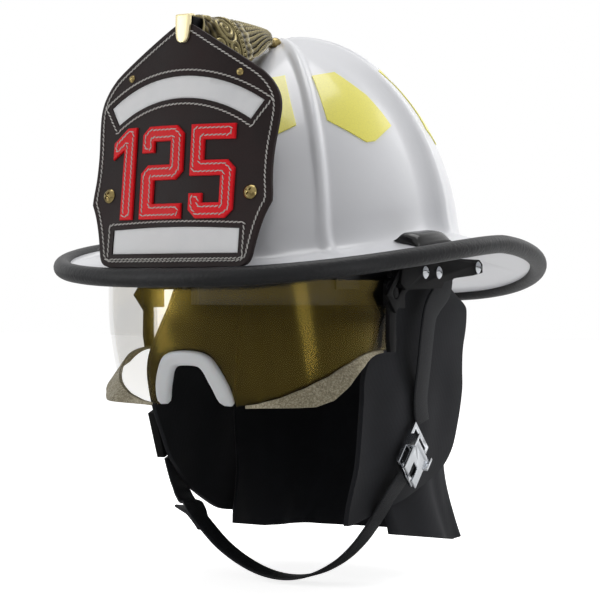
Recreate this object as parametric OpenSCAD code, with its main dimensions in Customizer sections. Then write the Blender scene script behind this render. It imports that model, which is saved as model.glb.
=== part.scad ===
// Traditional fire helmet with retractable visor, leather front, ear cover and chin strap.
// Millimetres. The wearer looks along -Y, the wearer's left is +X, +Z is up.
// The origin is the middle of the head opening, level with the brim at the ears.

/* [Crown] */
// Half width of the crown at its foot
crown_half_w = 104.5; // [96:0.5:112]
// Length of the crown in front of the ears
crown_front = 144; // [136:1:150]
// Length of the crown behind the ears
crown_rear = 115; // [108:1:126]
// Height of the crown above the brim
crown_h = 141; // [130:0.5:155]
// Wall of the shell
shell_t = 2.6; // [2:0.1:4]
// Height of the four broad ridges
ridge_h = 4.4; // [2:0.1:6]
// Half width of the four broad ridges
ridge_half_w = 18; // [12:0.5:20]
// Height of the four narrow ribs
rib_h = 3.2; // [1.5:0.1:5]
// Half width of the four narrow ribs
rib_half_w = 6.5; // [4:0.5:8]

/* [Brim] */
// Half width of the brim to the middle of its bead
brim_half_w = 147; // [138:1:156]
// Reach of the brim in front
brim_front = 168; // [162:1:176]
// Reach of the brim behind
brim_rear = 212; // [200:1:225]
// Drop of the brim in front
front_droop = 22.8; // [15:0.2:28]
// Drop of the brim behind
rear_droop = 32.4; // [24:0.2:40]
// Radius of the bead round the edge
bead_r = 6; // [5:0.25:7]

/* [Leather front] */
// Height of the leather front
front_h = 150; // [140:1:156]
// Width over its two lower points
front_w = 136; // [124:1:142]
// Thickness of the leather
leather_t = 3.2; // [2.4:0.2:4.5]
// Lean of the leather front towards the crown, in degrees
front_lean = 2.4; // [0:0.2:4]

/* [Visor] */
// Half width of the lens
lens_half_w = 92; // [88:0.5:93]
// Reach of the lens in front of its side edges
lens_reach = 104; // [98:0.5:105]
// Thickness of the lens
lens_t = 2.4; // [1.8:0.1:3]
// Height of the lens bottom below the brim
lens_drop = 104; // [96:1:108]
// Angle that the visor moves through, in degrees
visor_swing = 20; // [10:1:20]

/* [Head suspension] */
// Half length of the headband
band_half_l = 95; // [90:0.5:97]
// Half width of the headband
band_half_w = 77; // [72:0.5:79]
// Height of the headband
band_h = 28; // [22:1:32]
// Turn of the ratchet knob each way, in degrees
knob_turn = 182; // [91:13:182]

/* [Ear cover] */
// Drop of the ear cover's lower hem
cover_drop = 206; // [190:1:215]
// Thickness of the ear cover cloth
cloth_t = 4; // [3:0.5:6]

/* [Chin strap] */
// Width of the webbing
web_w = 19; // [15:1:22]
// Thickness of the webbing
web_t = 2; // [1.4:0.2:3]
// Drop of the chin strap's loop
strap_drop = 226; // [214:1:236]
// Opening angle of the buckle lever, in degrees
lever_open = 70; // [30:5:90]

/* [Hidden] */

// Small running clearance between pieces that touch
gap = 0.3;
// How square the crown is in plan, in front and behind
crown_n_front = 2.5;
crown_n_rear = 2.1;
// How square the brim is in plan, in front and behind
brim_n_front = 2.5;
brim_n_rear = 2.07;
// Fullness of the crown's upright profile
crown_p = 1.9;
// Rise from the brim's edge to the crown's foot: sides, front and rear
foot_side = 4;
foot_front = 16;
foot_rear = 12;
foot_fillet = 9;

// Columns round the helmet, closer together at the ridges and ribs
COLS = [for (k = [0:7]) each [for (d = [-18.5, -13, -8, -5, -2.5, 0, 2.5, 5, 8, 13, 18.5, 22.5])
    45 * k + d]];
EVEN = [for (k = [0:63]) k * 360 / 64];

// Signed power, for rounded-square outlines
function spow(v, n) = sign(v) * pow(abs(v), 2 / n);
function mix(a, b, s) = a + (b - a) * s;
function blend01(a, b, v) = let (s = min(1, max(0, (v - a) / (b - a)))) s * s * (3 - 2 * s);
function unit(v) = v / norm(v);
function angle_gap(a, b) = let (d = abs((a - b) % 360)) min(d, 360 - d);

// Crown outline at angle t: 0 is the front, 90 the wearer's left; inset moves it inwards
function crown_n(t) = cos(t) > 0 ? crown_n_front : crown_n_rear;
function crown_x(t, inset = 0) = (crown_half_w - inset) * spow(sin(t), crown_n(t));
function crown_y(t, inset = 0) =
    -((cos(t) > 0 ? crown_front : crown_rear) - inset) * spow(cos(t), crown_n(t));

// Edge of the brim, along the middle of its bead
function brim_n(t) = cos(t) > 0 ? brim_n_front : brim_n_rear;
function brim_share(t) = pow(abs(cos(t)), 2 / brim_n(t));
function brim_z(t) = cos(t) > 0 ? -front_droop * pow(brim_share(t), 1.41)
    : -rear_droop * pow(brim_share(t), 1.55);
brim_mid_y = 6.7;
function brim_edge(t) = [brim_half_w * spow(sin(t), brim_n(t)),
    brim_mid_y - (cos(t) > 0 ? brim_front + brim_mid_y : brim_rear - brim_mid_y) * spow(cos(t), brim_n(t)),
    brim_z(t)];
function foot_z(t) = foot_side - (cos(t) > 0 ? foot_front : foot_rear) * pow(abs(cos(t)), 1.4);

// The ridges and ribs run out from a point on the top, in front of the middle
pole_y = -27;
side_ridge_y = -6.5;
function from_pole(t) = [crown_x(t), crown_y(t) - pole_y];
function ridge_line(k) = k == 2 ? [crown_half_w, side_ridge_y - pole_y]
    : k == 6 ? [-crown_half_w, side_ridge_y - pole_y] : from_pole(45 * k);
function off_line(v, line) = v * line < 0 ? 1e3 : abs(v.x * line.y - v.y * line.x) / norm(line);

// How far the ridges and ribs stand out at column t and plan share r; none runs down the front
function ridge_at(t, r) = max([for (k = [1:7]) let (u = r * off_line(from_pole(t), ridge_line(k)))
    k % 2 == 0 ? ridge_h * (1 - blend01(0.72, 1, u / (ridge_half_w * (1.5 - 0.5 * r))))
        : rib_h * pow(1 - pow(min(1, u / rib_half_w), 2), 2)]);

// A point of the crown at column t and upright angle e, inset from the outer face
function crown_share(x, y, inset) = let (n = y < 0 ? crown_n_front : crown_n_rear)
    pow(pow(abs(x) / (crown_half_w - inset), n)
        + pow(abs(y) / ((y < 0 ? crown_front : crown_rear) - inset), n), 1 / n);
function dome(x, y, inset) = (crown_h - inset)
    * pow(max(0, 1 - pow(min(1, crown_share(x, y, inset)), crown_p)), 1 / crown_p);
function crown_base(t, e, inset) = let (r = pow(cos(e), 2 / crown_p), x = crown_x(t, inset) * r,
    y = crown_y(t, inset) * r + pole_y * (1 - r))
    [x, y, dome(x, y, inset) + foot_z(t) * pow(min(1, crown_share(x, y, inset)), crown_p)];
function crown_pt(t, e, inset) = let (p = crown_base(t, e, inset), out = unit([p.x, p.y, max(0, p.z)]))
    p + out * ridge_at(t, pow(cos(e), 2 / crown_p)) * blend01(0, 9, e);

// A point of the brim at column t, share q from the crown's foot to the edge, offset up or down
function foot_pt(t, inset) = [crown_x(t, inset), crown_y(t, inset), foot_z(t)];
function brim_pt(t, q, inset, up) = mix(foot_pt(t, inset), brim_edge(t), q) + [0, 0, up];
function brim_len(t) = norm(brim_edge(t) - foot_pt(t, 0));
plate_short = 1.4;
FILLET = [0.2, 0.5, 0.8];
BRIM_Q = [0.66, 0.36];
CROWN_E = [9, 17, 26, 35, 44, 53, 62, 70, 77, 83, 87];
INNER_E = [9, 26, 44, 62, 78];

// One ring of the shell's outer or inner face
function fillet_pt(t, s, inset, up) = let (q = foot_fillet / brim_len(t),
    a = brim_pt(t, q, inset, up), b = foot_pt(t, inset) + [0, 0, up], c = crown_pt(t, CROWN_E[0], inset))
    mix(mix(a, b, s), mix(b, c, s), s);
function face_rings(inset, up, rows) = concat(
    [[for (t = COLS) brim_pt(t, 1 - plate_short / brim_len(t), inset, up)]],
    [for (q = BRIM_Q) [for (t = COLS) brim_pt(t, q, inset, up)]],
    [[for (t = COLS) brim_pt(t, foot_fillet / brim_len(t), inset, up)]],
    [for (s = FILLET) [for (t = COLS) fillet_pt(t, s, inset, up)]],
    [for (e = rows) [for (t = COLS) crown_pt(t, e, inset)]]);

// Joining rings of points into closed skins
function flat(l) = [for (a = l) each a];
function turned(l) = [for (i = [len(l) - 1:-1:0]) l[i]];
function band_faces(a, b, n) = [for (j = [0:n - 1]) let (k = (j + 1) % n)
    each [[a + j, b + j, b + k], [a + j, b + k, a + k]]];
function fan_faces(c, a, n) = [for (j = [0:n - 1]) [a + j, a + (j + 1) % n, c]];
function strip_faces(a, n) = [for (k = [0:n / 2 - 2])
    each [[a + k, a + k + 1, a + n - 2 - k], [a + k, a + n - 2 - k, a + n - 1 - k]]];
function flipped(faces) = [for (f = faces) turned(f)];

// Rings closed by a point at each end
module poled_skin(rings, first, last) {
    n = len(rings[0]);
    m = len(rings);
    polyhedron(points = concat(flat(rings), [first, last]),
        faces = concat(flat([for (i = [0:m - 2]) band_faces(i * n, (i + 1) * n, n)]),
            fan_faces(m * n, 0, n), flipped(fan_faces(m * n + 1, (m - 1) * n, n))), convexity = 8);
}

// Rings that are flat tubes: n/2 points on one face, then n/2 back on the other
module sheet_skin(rings) {
    n = len(rings[0]);
    m = len(rings);
    polyhedron(points = flat(rings),
        faces = concat(flat([for (i = [0:m - 2]) band_faces(i * n, (i + 1) * n, n)]),
            strip_faces(0, n), flipped(strip_faces((m - 1) * n, n))), convexity = 8);
}

// Rings that close on themselves
module looped_skin(rings) {
    n = len(rings[0]);
    m = len(rings);
    polyhedron(points = flat(rings),
        faces = flat([for (i = [0:m - 1]) band_faces(i * n, ((i + 1) % m) * n, n)]), convexity = 8);
}

// A band of webbing through points, with its flat side along "wide"
function web_ring(p, dir, wide, w, t) = let (a = unit(wide - dir * (wide * dir)), b = cross(dir, a))
    [p - a * w / 2 - b * t / 2, p + a * w / 2 - b * t / 2,
     p + a * w / 2 + b * t / 2, p - a * w / 2 + b * t / 2];
function run_dir(pts, i) = unit(pts[min(i + 1, len(pts) - 1)] - pts[max(i - 1, 0)]);
module webbing(pts, wide, w, t) {
    sheet_skin([for (i = [0:len(pts) - 1]) web_ring(pts[i], run_dir(pts, i), wide, w, t)]);
}

// Draws a flat (y, z) outline as a plate standing across X, from x to x + t
module side_plate(x, t) {
    translate([x, 0, 0]) rotate([90, 0, 90]) linear_extrude(t) children();
}

// Mirrors its children for the wearer's right side
module right_side() { mirror([1, 0, 0]) children(); }

// The shell: crown with ridges and ribs, and the brim, in one moulding
module shell() {
    color("whitesmoke")
    poled_skin(concat(turned(face_rings(shell_t, -shell_t / 2, INNER_E)),
        face_rings(0, shell_t / 2, CROWN_E)),
        [0, pole_y, dome(0, pole_y, shell_t) + ridge_h], [0, pole_y, dome(0, pole_y, 0) + ridge_h]);
}

// Bead of the edge trim, with the groove that grips the brim
groove_half = shell_t / 2 + 0.35;
bead_lip = asin(groove_half / bead_r);
BEAD = concat(
    [for (k = [0:10]) let (a = -180 + bead_lip + k * (360 - 2 * bead_lip) / 10)
        [bead_r * cos(a), bead_r * sin(a)]],
    [[-plate_short + 0.6, groove_half], [-plate_short + 0.6, -groove_half]]);
function bead_ring(t) = let (e = brim_edge(t), inward = unit(foot_pt(t, 0) - e),
    side = unit(cross(inward, [0, 0, 1])), up = unit(cross(side, inward)))
    [for (p = BEAD) e - inward * p.x + up * p.y];
module edge_trim() {
    color("#26262a") looped_skin([for (t = turned(EVEN)) bead_ring(t)]);
}

// Impact liner between the crown and the head suspension
liner_mid_y = 12;
liner_half_l = crown_rear - shell_t - gap - liner_mid_y - 4;
liner_half_w = 86;
liner_top = crown_h - shell_t - gap - 1.3;
liner_t = 9;
liner_rim = 10;
liner_brow = 50;
LINER_E = [0, 14, 28, 42, 56, 70, 82];
function liner_low(t) = mix(liner_rim, liner_brow, blend01(40, 75, 90 - angle_gap(t, 0)));
function liner_pt(t, e, inset) = let (r = cos(e), z = liner_low(t) * pow(cos(e), 2))
    [(liner_half_w - inset) * sin(t) * r, liner_mid_y - (liner_half_l - inset) * cos(t) * r,
     z + (liner_top - inset) * sin(e) * (1 - 0.25 * cos(e))];
LINER_T = [for (k = [0:39]) k * 9];
module impact_liner() {
    color("#3a3a3c")
    poled_skin(concat(turned([for (e = LINER_E) [for (t = LINER_T) liner_pt(t, e, liner_t)]]),
        [for (e = LINER_E) [for (t = LINER_T) liner_pt(t, e, 0)]]),
        [0, liner_mid_y, liner_top - liner_t], [0, liner_mid_y, liner_top]);
}

// Leather front, standing on the brim and held at its tip by the crest
front_foot_y = -(brim_front - 14.5);
front_foot_z = -16.5;
front_k = front_w / 136;
front_j = front_h / 150;
front_bend = 270;
// Height up the leather front and half width there
FRONT_ROWS = [[3.6, 42], [5.5, 48], [11, 53], [22, 59], [33, 66], [38, 68], [44, 65.5], [62, 64],
    [82, 66], [95, 66.5], [107, 62.5], [117, 54], [128, 37.5], [146.5, 8], [150, 1]];
front_steps = 5;
// The upper part bends back at its sides; the lower part is flat
function bend_share(h) = blend01(38, 92, h);
function bend(x, h) = -x * x / (2 * front_bend) * bend_share(h);
function front_row(row, out) = [for (j = [-front_steps:front_steps])
    let (x = j / front_steps * row[1] * front_k) [x, row[0] * front_j, bend(x, row[0]) + out]];

// Places its children on the leather front, which is drawn flat from its lower edge up
module on_front() {
    translate([0, front_foot_y, front_foot_z]) rotate([90 - front_lean, 0, 0]) children();
}
module at_front(x, h) {
    on_front() translate([x, h, bend(x, h)]) rotate([0, asin(x / front_bend) * bend_share(h), 0]) children();
}
// A bent sheet on the leather front: rows of points at height h, from -w(h) to w(h)
module front_sheet(rows, out, t) {
    on_front() sheet_skin([for (row = rows) concat(front_row(row, out), turned(front_row(row, out - t)))]);
}
module leather_front() {
    color("#2b2222") difference() {
        front_sheet(FRONT_ROWS, 0, leather_t);
        for (s = [-1, 1]) {
            at_front(s * screw_x, screw_h) translate([0, 0, -leather_t - 1])
                cylinder(r = screw_r + gap / 2, h = leather_t + 2, $fn = 24);
            at_front(s * rivet_x, rivet_h) translate([0, 0, -leather_t - 1])
                cylinder(r = rivet_r + gap / 2, h = leather_t + 2, $fn = 20);
        }
    }
}

// Blank white name panels, one arched and one straight
panel_t = 1.2;
arch_r = 104 * front_k;
arch_mid = 18 * front_j;
arch_half = 29.5;
arch_w = 15.5;
function arch_pt(a, r, out) = let (x = r * sin(a), h = arch_mid + r * cos(a)) [x, h, bend(x, h) + 0.05 + out];
module upper_panel() {
    color("gainsboro") on_front() sheet_skin([for (k = [-8:8]) let (a = k * arch_half / 8)
        [arch_pt(a, arch_r, panel_t), arch_pt(a, arch_r - arch_w, panel_t),
         arch_pt(a, arch_r - arch_w, 0), arch_pt(a, arch_r, 0)]]);
}
lower_half_w = 47 * front_k;
function lower_pt(x, h, out) = [x, h * front_j, bend(x, h) + 0.05 + out];
module lower_panel() {
    color("gainsboro") on_front() sheet_skin([for (k = [-6:6]) let (x = k * lower_half_w / 6,
        top = 26 + 1.4 * cos(k * 15)) [lower_pt(x, top, panel_t), lower_pt(x, 10, panel_t),
        lower_pt(x, 10, 0), lower_pt(x, top, 0)]]);
}

// Two large screws and two small rivets through the leather
screw_x = 53 * front_k;
screw_h = 44 * front_j;
screw_r = 2.5;
rivet_x = 40 * front_k;
rivet_h = 119 * front_j;
rivet_r = 1.4;
module dome_head(r, h) {
    intersection() {
        translate([0, 0, h - (r * r + h * h) / (2 * h)]) sphere(r = (r * r + h * h) / (2 * h), $fn = 36);
        cylinder(r = r, h = h, $fn = 36);
    }
}
module front_screws() {
    color("darkgoldenrod") for (s = [-1, 1]) at_front(s * screw_x, screw_h) {
        difference() {
            translate([0, 0, 0.3]) dome_head(6.2, 3);
            for (a = [0, 90]) rotate(a) translate([-2.8, -0.5, 1.7]) cube([5.6, 1, 2]);
        }
        translate([0, 0, -leather_t - 3]) cylinder(r = screw_r, h = leather_t + 3.4, $fn = 24);
        translate([0, 0, -leather_t - 3.1]) cylinder(r = 4.2, h = 2.4, $fn = 24);
    }
}
module front_rivets() {
    color("darkgoldenrod") for (s = [-1, 1]) at_front(s * rivet_x, rivet_h) {
        translate([0, 0, 0.05]) dome_head(3.4, 1.9);
        translate([0, 0, -leather_t - 1.6]) cylinder(r = rivet_r, h = leather_t + 1.9, $fn = 20);
        translate([0, 0, -leather_t - 1.6]) cylinder(r = 3, h = 1.4, $fn = 20);
    }
}

// Crest: a cast wing that stands over the front of the crown, hollow below, on a thin foot
crest_y0 = -(brim_front - 37);
crest_t = 2.4;
CREST_Y = [crest_y0, -124, -116, -108, -106, -100, -90, -80, -70, -60, -50, -43.5];
CREST_TOP = [[-131, 142.6], [-116, 143.8], [-100, 144.6], [-80, 145], [-60, 142], [-42, 139]];
CREST_W = [[-131, 22.5], [-116, 24], [-100, 23.5], [-80, 17], [-60, 10], [-42, 4.4]];
CREST_LOW = [[-131, 121], [-116, 119], [-100, 118.5], [-80, 124.5], [-60, 131], [-42, 136.2]];
function crest_top(y) = lookup(y, CREST_TOP);
function crest_w(y) = lookup(y, CREST_W);
function crest_low(y) = lookup(y, CREST_LOW);
function crown_ridge_z(y) = dome(0, y, 0);
function crest_band(y) = y < -105 && y > -109 ? 0.8 : 0;
function crest_pt(y, j, inset) = let (u = abs(j) / 6, w = crest_w(y), top = crest_top(y), low = crest_low(y),
    flute = inset > 0 || j == 0 ? 0 : (abs(j) % 2 == 0 ? 0.45 : -0.35) + crest_band(y))
    [sign(j) * ((w - inset * 1.3) * pow(u, 0.9) + flute * 0.7), y,
     top - inset * 1.4 + (low - top + inset * 1.4) * pow(u, 1.15) + flute * 0.7];
module crest() {
    color("goldenrod") {
        sheet_skin([for (y = CREST_Y) concat([for (j = [-6:6]) crest_pt(y, j, 0)],
            [for (j = [6:-1:-6]) crest_pt(y, j, crest_t)])]);
        side_plate(-2, 4) polygon(concat([for (y = [-122:10:-42]) [y, crown_ridge_z(y) + 0.35]],
            [for (y = [-42:-16:-122]) [y, crest_top(y) - crest_t - 0.6]]));
    }
}

// Smooth tongue that holds the leather's tip, and the dark pad between tip and crest
tongue_w = 11;
tongue_t = 2;
tip_z = front_foot_z + 158 * front_j * cos(front_lean);
tip_y = front_foot_y + 158 * front_j * sin(front_lean) - tongue_t;
module crest_tongue() {
    color("khaki") {
        on_front() translate([0, 0, 0.1]) linear_extrude(tongue_t) {
            translate([-tongue_w / 2, 146 * front_j]) square([tongue_w, 13]);
            translate([0, 146 * front_j]) circle(r = tongue_w / 2, $fn = 40);
        }
        translate([0.5 - tongue_w / 2, tip_y + 0.9, tip_z - 1.4])
            cube([tongue_w - 1, crest_y0 - 1.2 - tip_y, tongue_t]);
    }
}
module tip_pad() {
    color("#1c1c1e") translate([-tongue_w / 2, front_foot_y + 9.9, tip_z - 16])
        cube([tongue_w, crest_y0 - 0.3 - front_foot_y - 9.9, 14.4]);
}
knob_y = -38.8;
module crest_knob() {
    color("darkgoldenrod") translate([0, knob_y, crown_ridge_z(knob_y) + 1.9]) {
        cylinder(r = 2.4, h = 2, $fn = 24);
        translate([0, 0, 4]) sphere(r = 3.6, $fn = 28);
    }
}

// Yellow reflective trim, two pieces to each quarter of the crown
trim_t = 0.5;
// Upright angle and the two column angles between which a piece lies there
TRIM = [[30, 66.5, 70.5], [34, 58.5, 81], [38, 51, 79.5], [45, 50.5, 76.7], [55, 50, 69.2]];
function trim_span(row, k) = k == 0 ? [row[1], row[2]] : k == 1 ? [90 - row[2], 90 - row[1]]
    : k == 2 ? [180 - row[2], 180 - row[1]] : [90 + row[1], 90 + row[2]];
module trim_piece(k) {
    sheet_skin([for (row = TRIM) let (q = trim_span(row, k)) concat(
        [for (j = [0:5]) crown_pt(mix(q[0], q[1], j / 5), row[0], -0.95 - trim_t)],
        [for (j = [5:-1:0]) crown_pt(mix(q[0], q[1], j / 5), row[0], -0.95)])]);
}
module reflective_trim() {
    color("yellow") for (k = [0:3]) {
        trim_piece(k);
        right_side() trim_piece(k);
    }
}

// Low covers at the crown's foot over the side rivets
COVER_T = [69, 73, 77, 81, 85, 89, 93.5];
COVER_LIFT = [[1.6, 40], [3.4, 55], [4.6, 70], [4.2, 85], [1.6, 90]];
function cover_base(t, k) = k < 3 ? fillet_pt(t, [0.42, 0.2, 0.02][k], 0, shell_t / 2)
    : brim_pt(t, k == 3 ? 0.3 : 0.42, 0, shell_t / 2);
function cover_lift(t, k, share) = let (a = COVER_LIFT[k][1], out = unit([crown_x(t), crown_y(t), 0]))
    (out * cos(a) + [0, 0, sin(a)]) * (0.6 + COVER_LIFT[k][0] * share);
function cover_end(t) = (t < 70 || t > 93) ? 0.35 : 1;
module side_cover_left() {
    color("#1c1c1e") sheet_skin([for (t = COVER_T) concat(
        [for (k = [0:4]) cover_base(t, k) + cover_lift(t, k, cover_end(t))],
        [for (k = [4:-1:0]) cover_base(t, k) + cover_lift(t, k, 0)])]);
}
module side_cover_right() { right_side() side_cover_left(); }

// Brackets that carry the visor tracks, the ear cover and the chin strap
wall_x = crown_half_w - shell_t;
plate_t = 1.8;
plate_x = wall_x - plate_t - 1.1;
track_t = 2.2;
track_x = plate_x - track_t;
strap_peg_y = 24;
BRACKET = [[-47, -26], [-44, -14], [-18, -10], [-13, 12], [13, 12], [17, -8.5], [72, -9], [77, -12],
    [77, -18], [62, -20], [34, -22], [16, -25], [12, -29], [-40, -30]];
BRACKET_SCREWS = [[-12.6, -18.5], [7.3, -18.5], [68.5, -14.5]];
module bracket_left() {
    color("#1c1c1e") difference() {
        union() {
            side_plate(plate_x, plate_t) polygon(BRACKET);
            for (y = [-8, 8]) translate([plate_x + plate_t - 0.1, y, 7]) rotate([0, 90, 0])
                cylinder(r = 3, h = 0.6, $fn = 24);
        }
        for (q = BRACKET_SCREWS) translate([plate_x - 1, q[0], q[1]]) rotate([0, 90, 0])
            cylinder(r = 1.9 + gap / 2, h = 4, $fn = 20);
    }
}
module bracket_right() { right_side() bracket_left(); }
module bracket_screw(q, reach) {
    translate([plate_x + plate_t + 0.05, q[0], q[1]]) rotate([0, 90, 0]) difference() {
        dome_head(4.2, 2.4);
        for (a = [0, 90]) rotate(a) translate([-1.9, -0.45, 1.2]) cube([3.8, 0.9, 2]);
    }
    translate([plate_x - reach, q[0], q[1]]) rotate([0, 90, 0])
        cylinder(r = 1.9, h = reach + plate_t + 0.4, $fn = 20);
}
module bracket_screws() {
    color("silver") for (m = [0, 1]) mirror([m, 0, 0])
        for (k = [0:2]) bracket_screw(BRACKET_SCREWS[k], k < 2 ? 1.8 : 0.4);
}

// Visor tracks: a curved slot in each, struck from the point that the visor swings about
swing_y = 70;
swing_z = -160;
pin_r = 3.4;
pin_start = [-50, -32];
track_r = norm([pin_start.x - swing_y, pin_start.y - swing_z]);
pin_a = atan2(pin_start.y - swing_z, pin_start.x - swing_y);
pin_step = 3.2;
slot_end = pin_a - pin_step - 20.15;
module ring_sector(r0, r1, a0, a1) {
    intersection() {
        difference() {
            circle(r = r1, $fn = 240);
            circle(r = r0, $fn = 240);
        }
        polygon([[0, 0], for (k = [0:3]) 1.2 * r1 * [cos(mix(a0, a1, k / 3)), sin(mix(a0, a1, k / 3))]]);
    }
}
module track_left() {
    color("#1c1c1e") difference() {
        side_plate(track_x, track_t) difference() {
            union() {
                translate([swing_y, swing_z]) ring_sector(track_r - 9, track_r + 8, slot_end - 3, pin_a + 3.2);
                translate([-20, -25]) square([30, 14]);
            }
            translate([swing_y, swing_z]) {
                ring_sector(track_r - pin_r - gap, track_r + pin_r + gap, slot_end, pin_a + 0.1);
                for (a = [slot_end, pin_a + 0.1]) rotate(a) translate([track_r, 0])
                    circle(r = pin_r + gap, $fn = 32);
            }
        }
        for (k = [0, 1]) translate([track_x - 1, BRACKET_SCREWS[k][0], BRACKET_SCREWS[k][1]])
            rotate([0, 90, 0]) cylinder(r = 1.9 + gap / 2, h = 4, $fn = 20);
    }
}
module track_right() { right_side() track_left(); }

// Visor: the lens narrows downwards, most at its lower edge
lens_back_y = -46;
lens_top_z = -24;
function lens_a(z) = lens_half_w - 0.0015 * pow(z + 35, 2);
function lens_b(z) = lens_reach - 2 - 0.0031 * pow(z + 35, 2);
function lens_pt(t, z, out) = [(lens_a(z) + out) * spow(sin(t), 2.5),
    lens_back_y - (lens_b(z) + out) * spow(cos(t), 2.5), z];
function lens_x(t) = abs(lens_a(-90) * spow(sin(t), 2.5));
drop_k = lens_drop / 104;
function nose_top(x) = lookup(x, [[0, -68], [11, -69], [18, -73], [23, -81], [27, -91], [29, -103]]);
CREASE = [[29, -103], [44, -101], [58, -97], [70, -91], [79, -85], [86, -77], [90, -68]];
HEM = [[31, -104.2], [50, -103.4], [74, -102.2], [80, -99], [85, -92], [88.5, -79], [90, -70.5]];
function crease(x) = lookup(x, CREASE);
function hem(x) = lookup(x, HEM);
function lens_low(t) = drop_k * (lens_x(t) < 29.6 ? nose_top(max(0, lens_x(t) - 1)) + 0.4 : crease(lens_x(t)));
LENS_T = [0, 2.5, 5, 7.5, 9.5, 11.5, 13.5, 14.6, 17, 21, 25, 30, 35, 41, 48, 56, 66, 78, 90];
function both_ways(l) = concat([for (i = [len(l) - 1:-1:1]) -l[i]], l);
module visor_lens() {
    color("goldenrod", 0.5) sheet_skin([for (t = both_ways(LENS_T)) let (low = lens_low(t)) concat(
        [for (k = [0:4]) lens_pt(t, mix(lens_top_z, low, k / 4), lens_t / 2)],
        [for (k = [4:-1:0]) lens_pt(t, mix(lens_top_z, low, k / 4), -lens_t / 2)])]);
}
SKIRT_T = [17, 21, 25, 30, 35, 41, 48, 56, 66, 78];
skirt_t = 1.8;
function skirt_flare(t) = 0.4 + 5.2 * blend01(20, 45, t) * (1 - blend01(60, 86, t));
module skirt_left() {
    sheet_skin([for (t = SKIRT_T) let (top = lens_low(t) - 0.25,
        low = min(top - 1.2, drop_k * hem(max(31, lens_x(t))))) concat(
        [for (k = [0:2]) lens_pt(t, mix(top, low, k / 2), skirt_t / 2 + k * skirt_flare(t))],
        [for (k = [2:-1:0]) lens_pt(t, mix(top, low, k / 2), -skirt_t / 2 + k * skirt_flare(t))])]);
}
module visor_skirt() {
    color("wheat") {
        skirt_left();
        right_side() skirt_left();
    }
}
NOSE_OUT = [[0, -68], [7, -68.4], [13, -69.8], [18, -73], [23, -81], [27, -91], [28.8, -103]];
NOSE_IN = [[0, -77.5], [6, -77.8], [9.5, -79], [12, -82], [14, -87], [16.5, -93], [19.5, -102.5]];
function lens_front_y(x, z) = lens_back_y - lens_b(z) * pow(1 - pow(min(1, abs(x) / lens_a(z)), 2.5), 0.4);
function nose_pt(q, m, out) = [m * q.x, lens_front_y(q.x, q.y * drop_k) - out, q.y * drop_k];
// Round the guard's section: share from its outer to its inner edge, and distance out of the lens
NOSE_RING = [[0, 2.2], [0.25, 4.2], [0.75, 4.2], [1, 2], [1, -2], [0.75, -3.4], [0.25, -3.4], [0, -2.2]];
function nose_ring(k) = [for (q = NOSE_RING)
    nose_pt(mix(NOSE_OUT[abs(k)], NOSE_IN[abs(k)], q[0]), k < 0 ? -1 : 1, q[1])];
module nose_guard() {
    color("white") sheet_skin([for (k = [-6:6]) nose_ring(k)]);
}

// Visor arms: the grip that slides along each track on two pins, with its toothed tail and tab
arm_x = lens_half_w + lens_t / 2 + gap;
arm_t = track_x - gap - arm_x;
ARM = [[-58, -40], [-58, -26], [-55, -23.5], [-36, -23.5], [-33, -26], [-33, -42], [-46, -42],
    [-46, -60], [-45, -62], [-46, -70], [-53, -70], [-55, -62], [-54.5, -42]];
module visor_arm_left() {
    color("#1c1c1e") {
        side_plate(arm_x, arm_t) polygon(ARM);
        for (k = [0:5]) translate([arm_x + 0.4, -46.2, -46.5 - k * 2.8]) cube([arm_t - 0.8, 1.6, 1.4]);
        for (a = [pin_a, pin_a - pin_step])
            translate([arm_x + arm_t - 0.1, swing_y + track_r * cos(a), swing_z + track_r * sin(a)])
                rotate([0, 90, 0]) cylinder(r = pin_r, h = track_t + gap, $fn = 32);
    }
}
module visor_arm_right() { right_side() visor_arm_left(); }

// Headband: a stiff band round the brow, open behind, with a guide for each tail
band_mid_y = 10;
band_t = 2;
band_z = -40;
band_end = 120;
function band_pt(t, inset) = [(band_half_w - inset) * sin(t), band_mid_y - (band_half_l - inset) * cos(t)];
module headband() {
    color("#2c2c2e") {
        translate([0, 0, band_z]) linear_extrude(band_h) polygon(concat(
            [for (k = [-24:24]) band_pt(k * band_end / 24, 0)],
            [for (k = [24:-1:-24]) band_pt(k * band_end / 24, band_t)]));
        for (m = [0, 1]) mirror([m, 0, 0]) translate([0, tail_mid_y, 0]) {
            for (z = [band_z, tail_z + tail_h / 2 + gap]) translate([0, 0, z])
                linear_extrude(band_h / 2 - tail_h / 2 - gap) ring_sector(tail_r0 - 1.9, tail_r1 + 0.4, 16, 27);
            translate([0, 0, band_z]) linear_extrude(band_h) ring_sector(tail_r0 - 1.9, tail_r0 - 0.4, 16, 27);
        }
    }
}

// Tails of the headband, racked on opposite edges, and the pinion and knob between them
pinion_teeth = 10;
pinion_r = 5;
mesh_r = 65;
tail_mid_y = 38;
tail_z = band_z + band_h / 2;
tail_h = 20;
tail_t = 1.6;
tail_r0 = mesh_r - 0.2 - tail_t;
tail_r1 = mesh_r + 0.2 + tail_t;
tooth_a = 360 * pinion_r / (pinion_teeth * mesh_r);
slot_a = knob_turn * pinion_r / mesh_r + 6.5;
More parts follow.
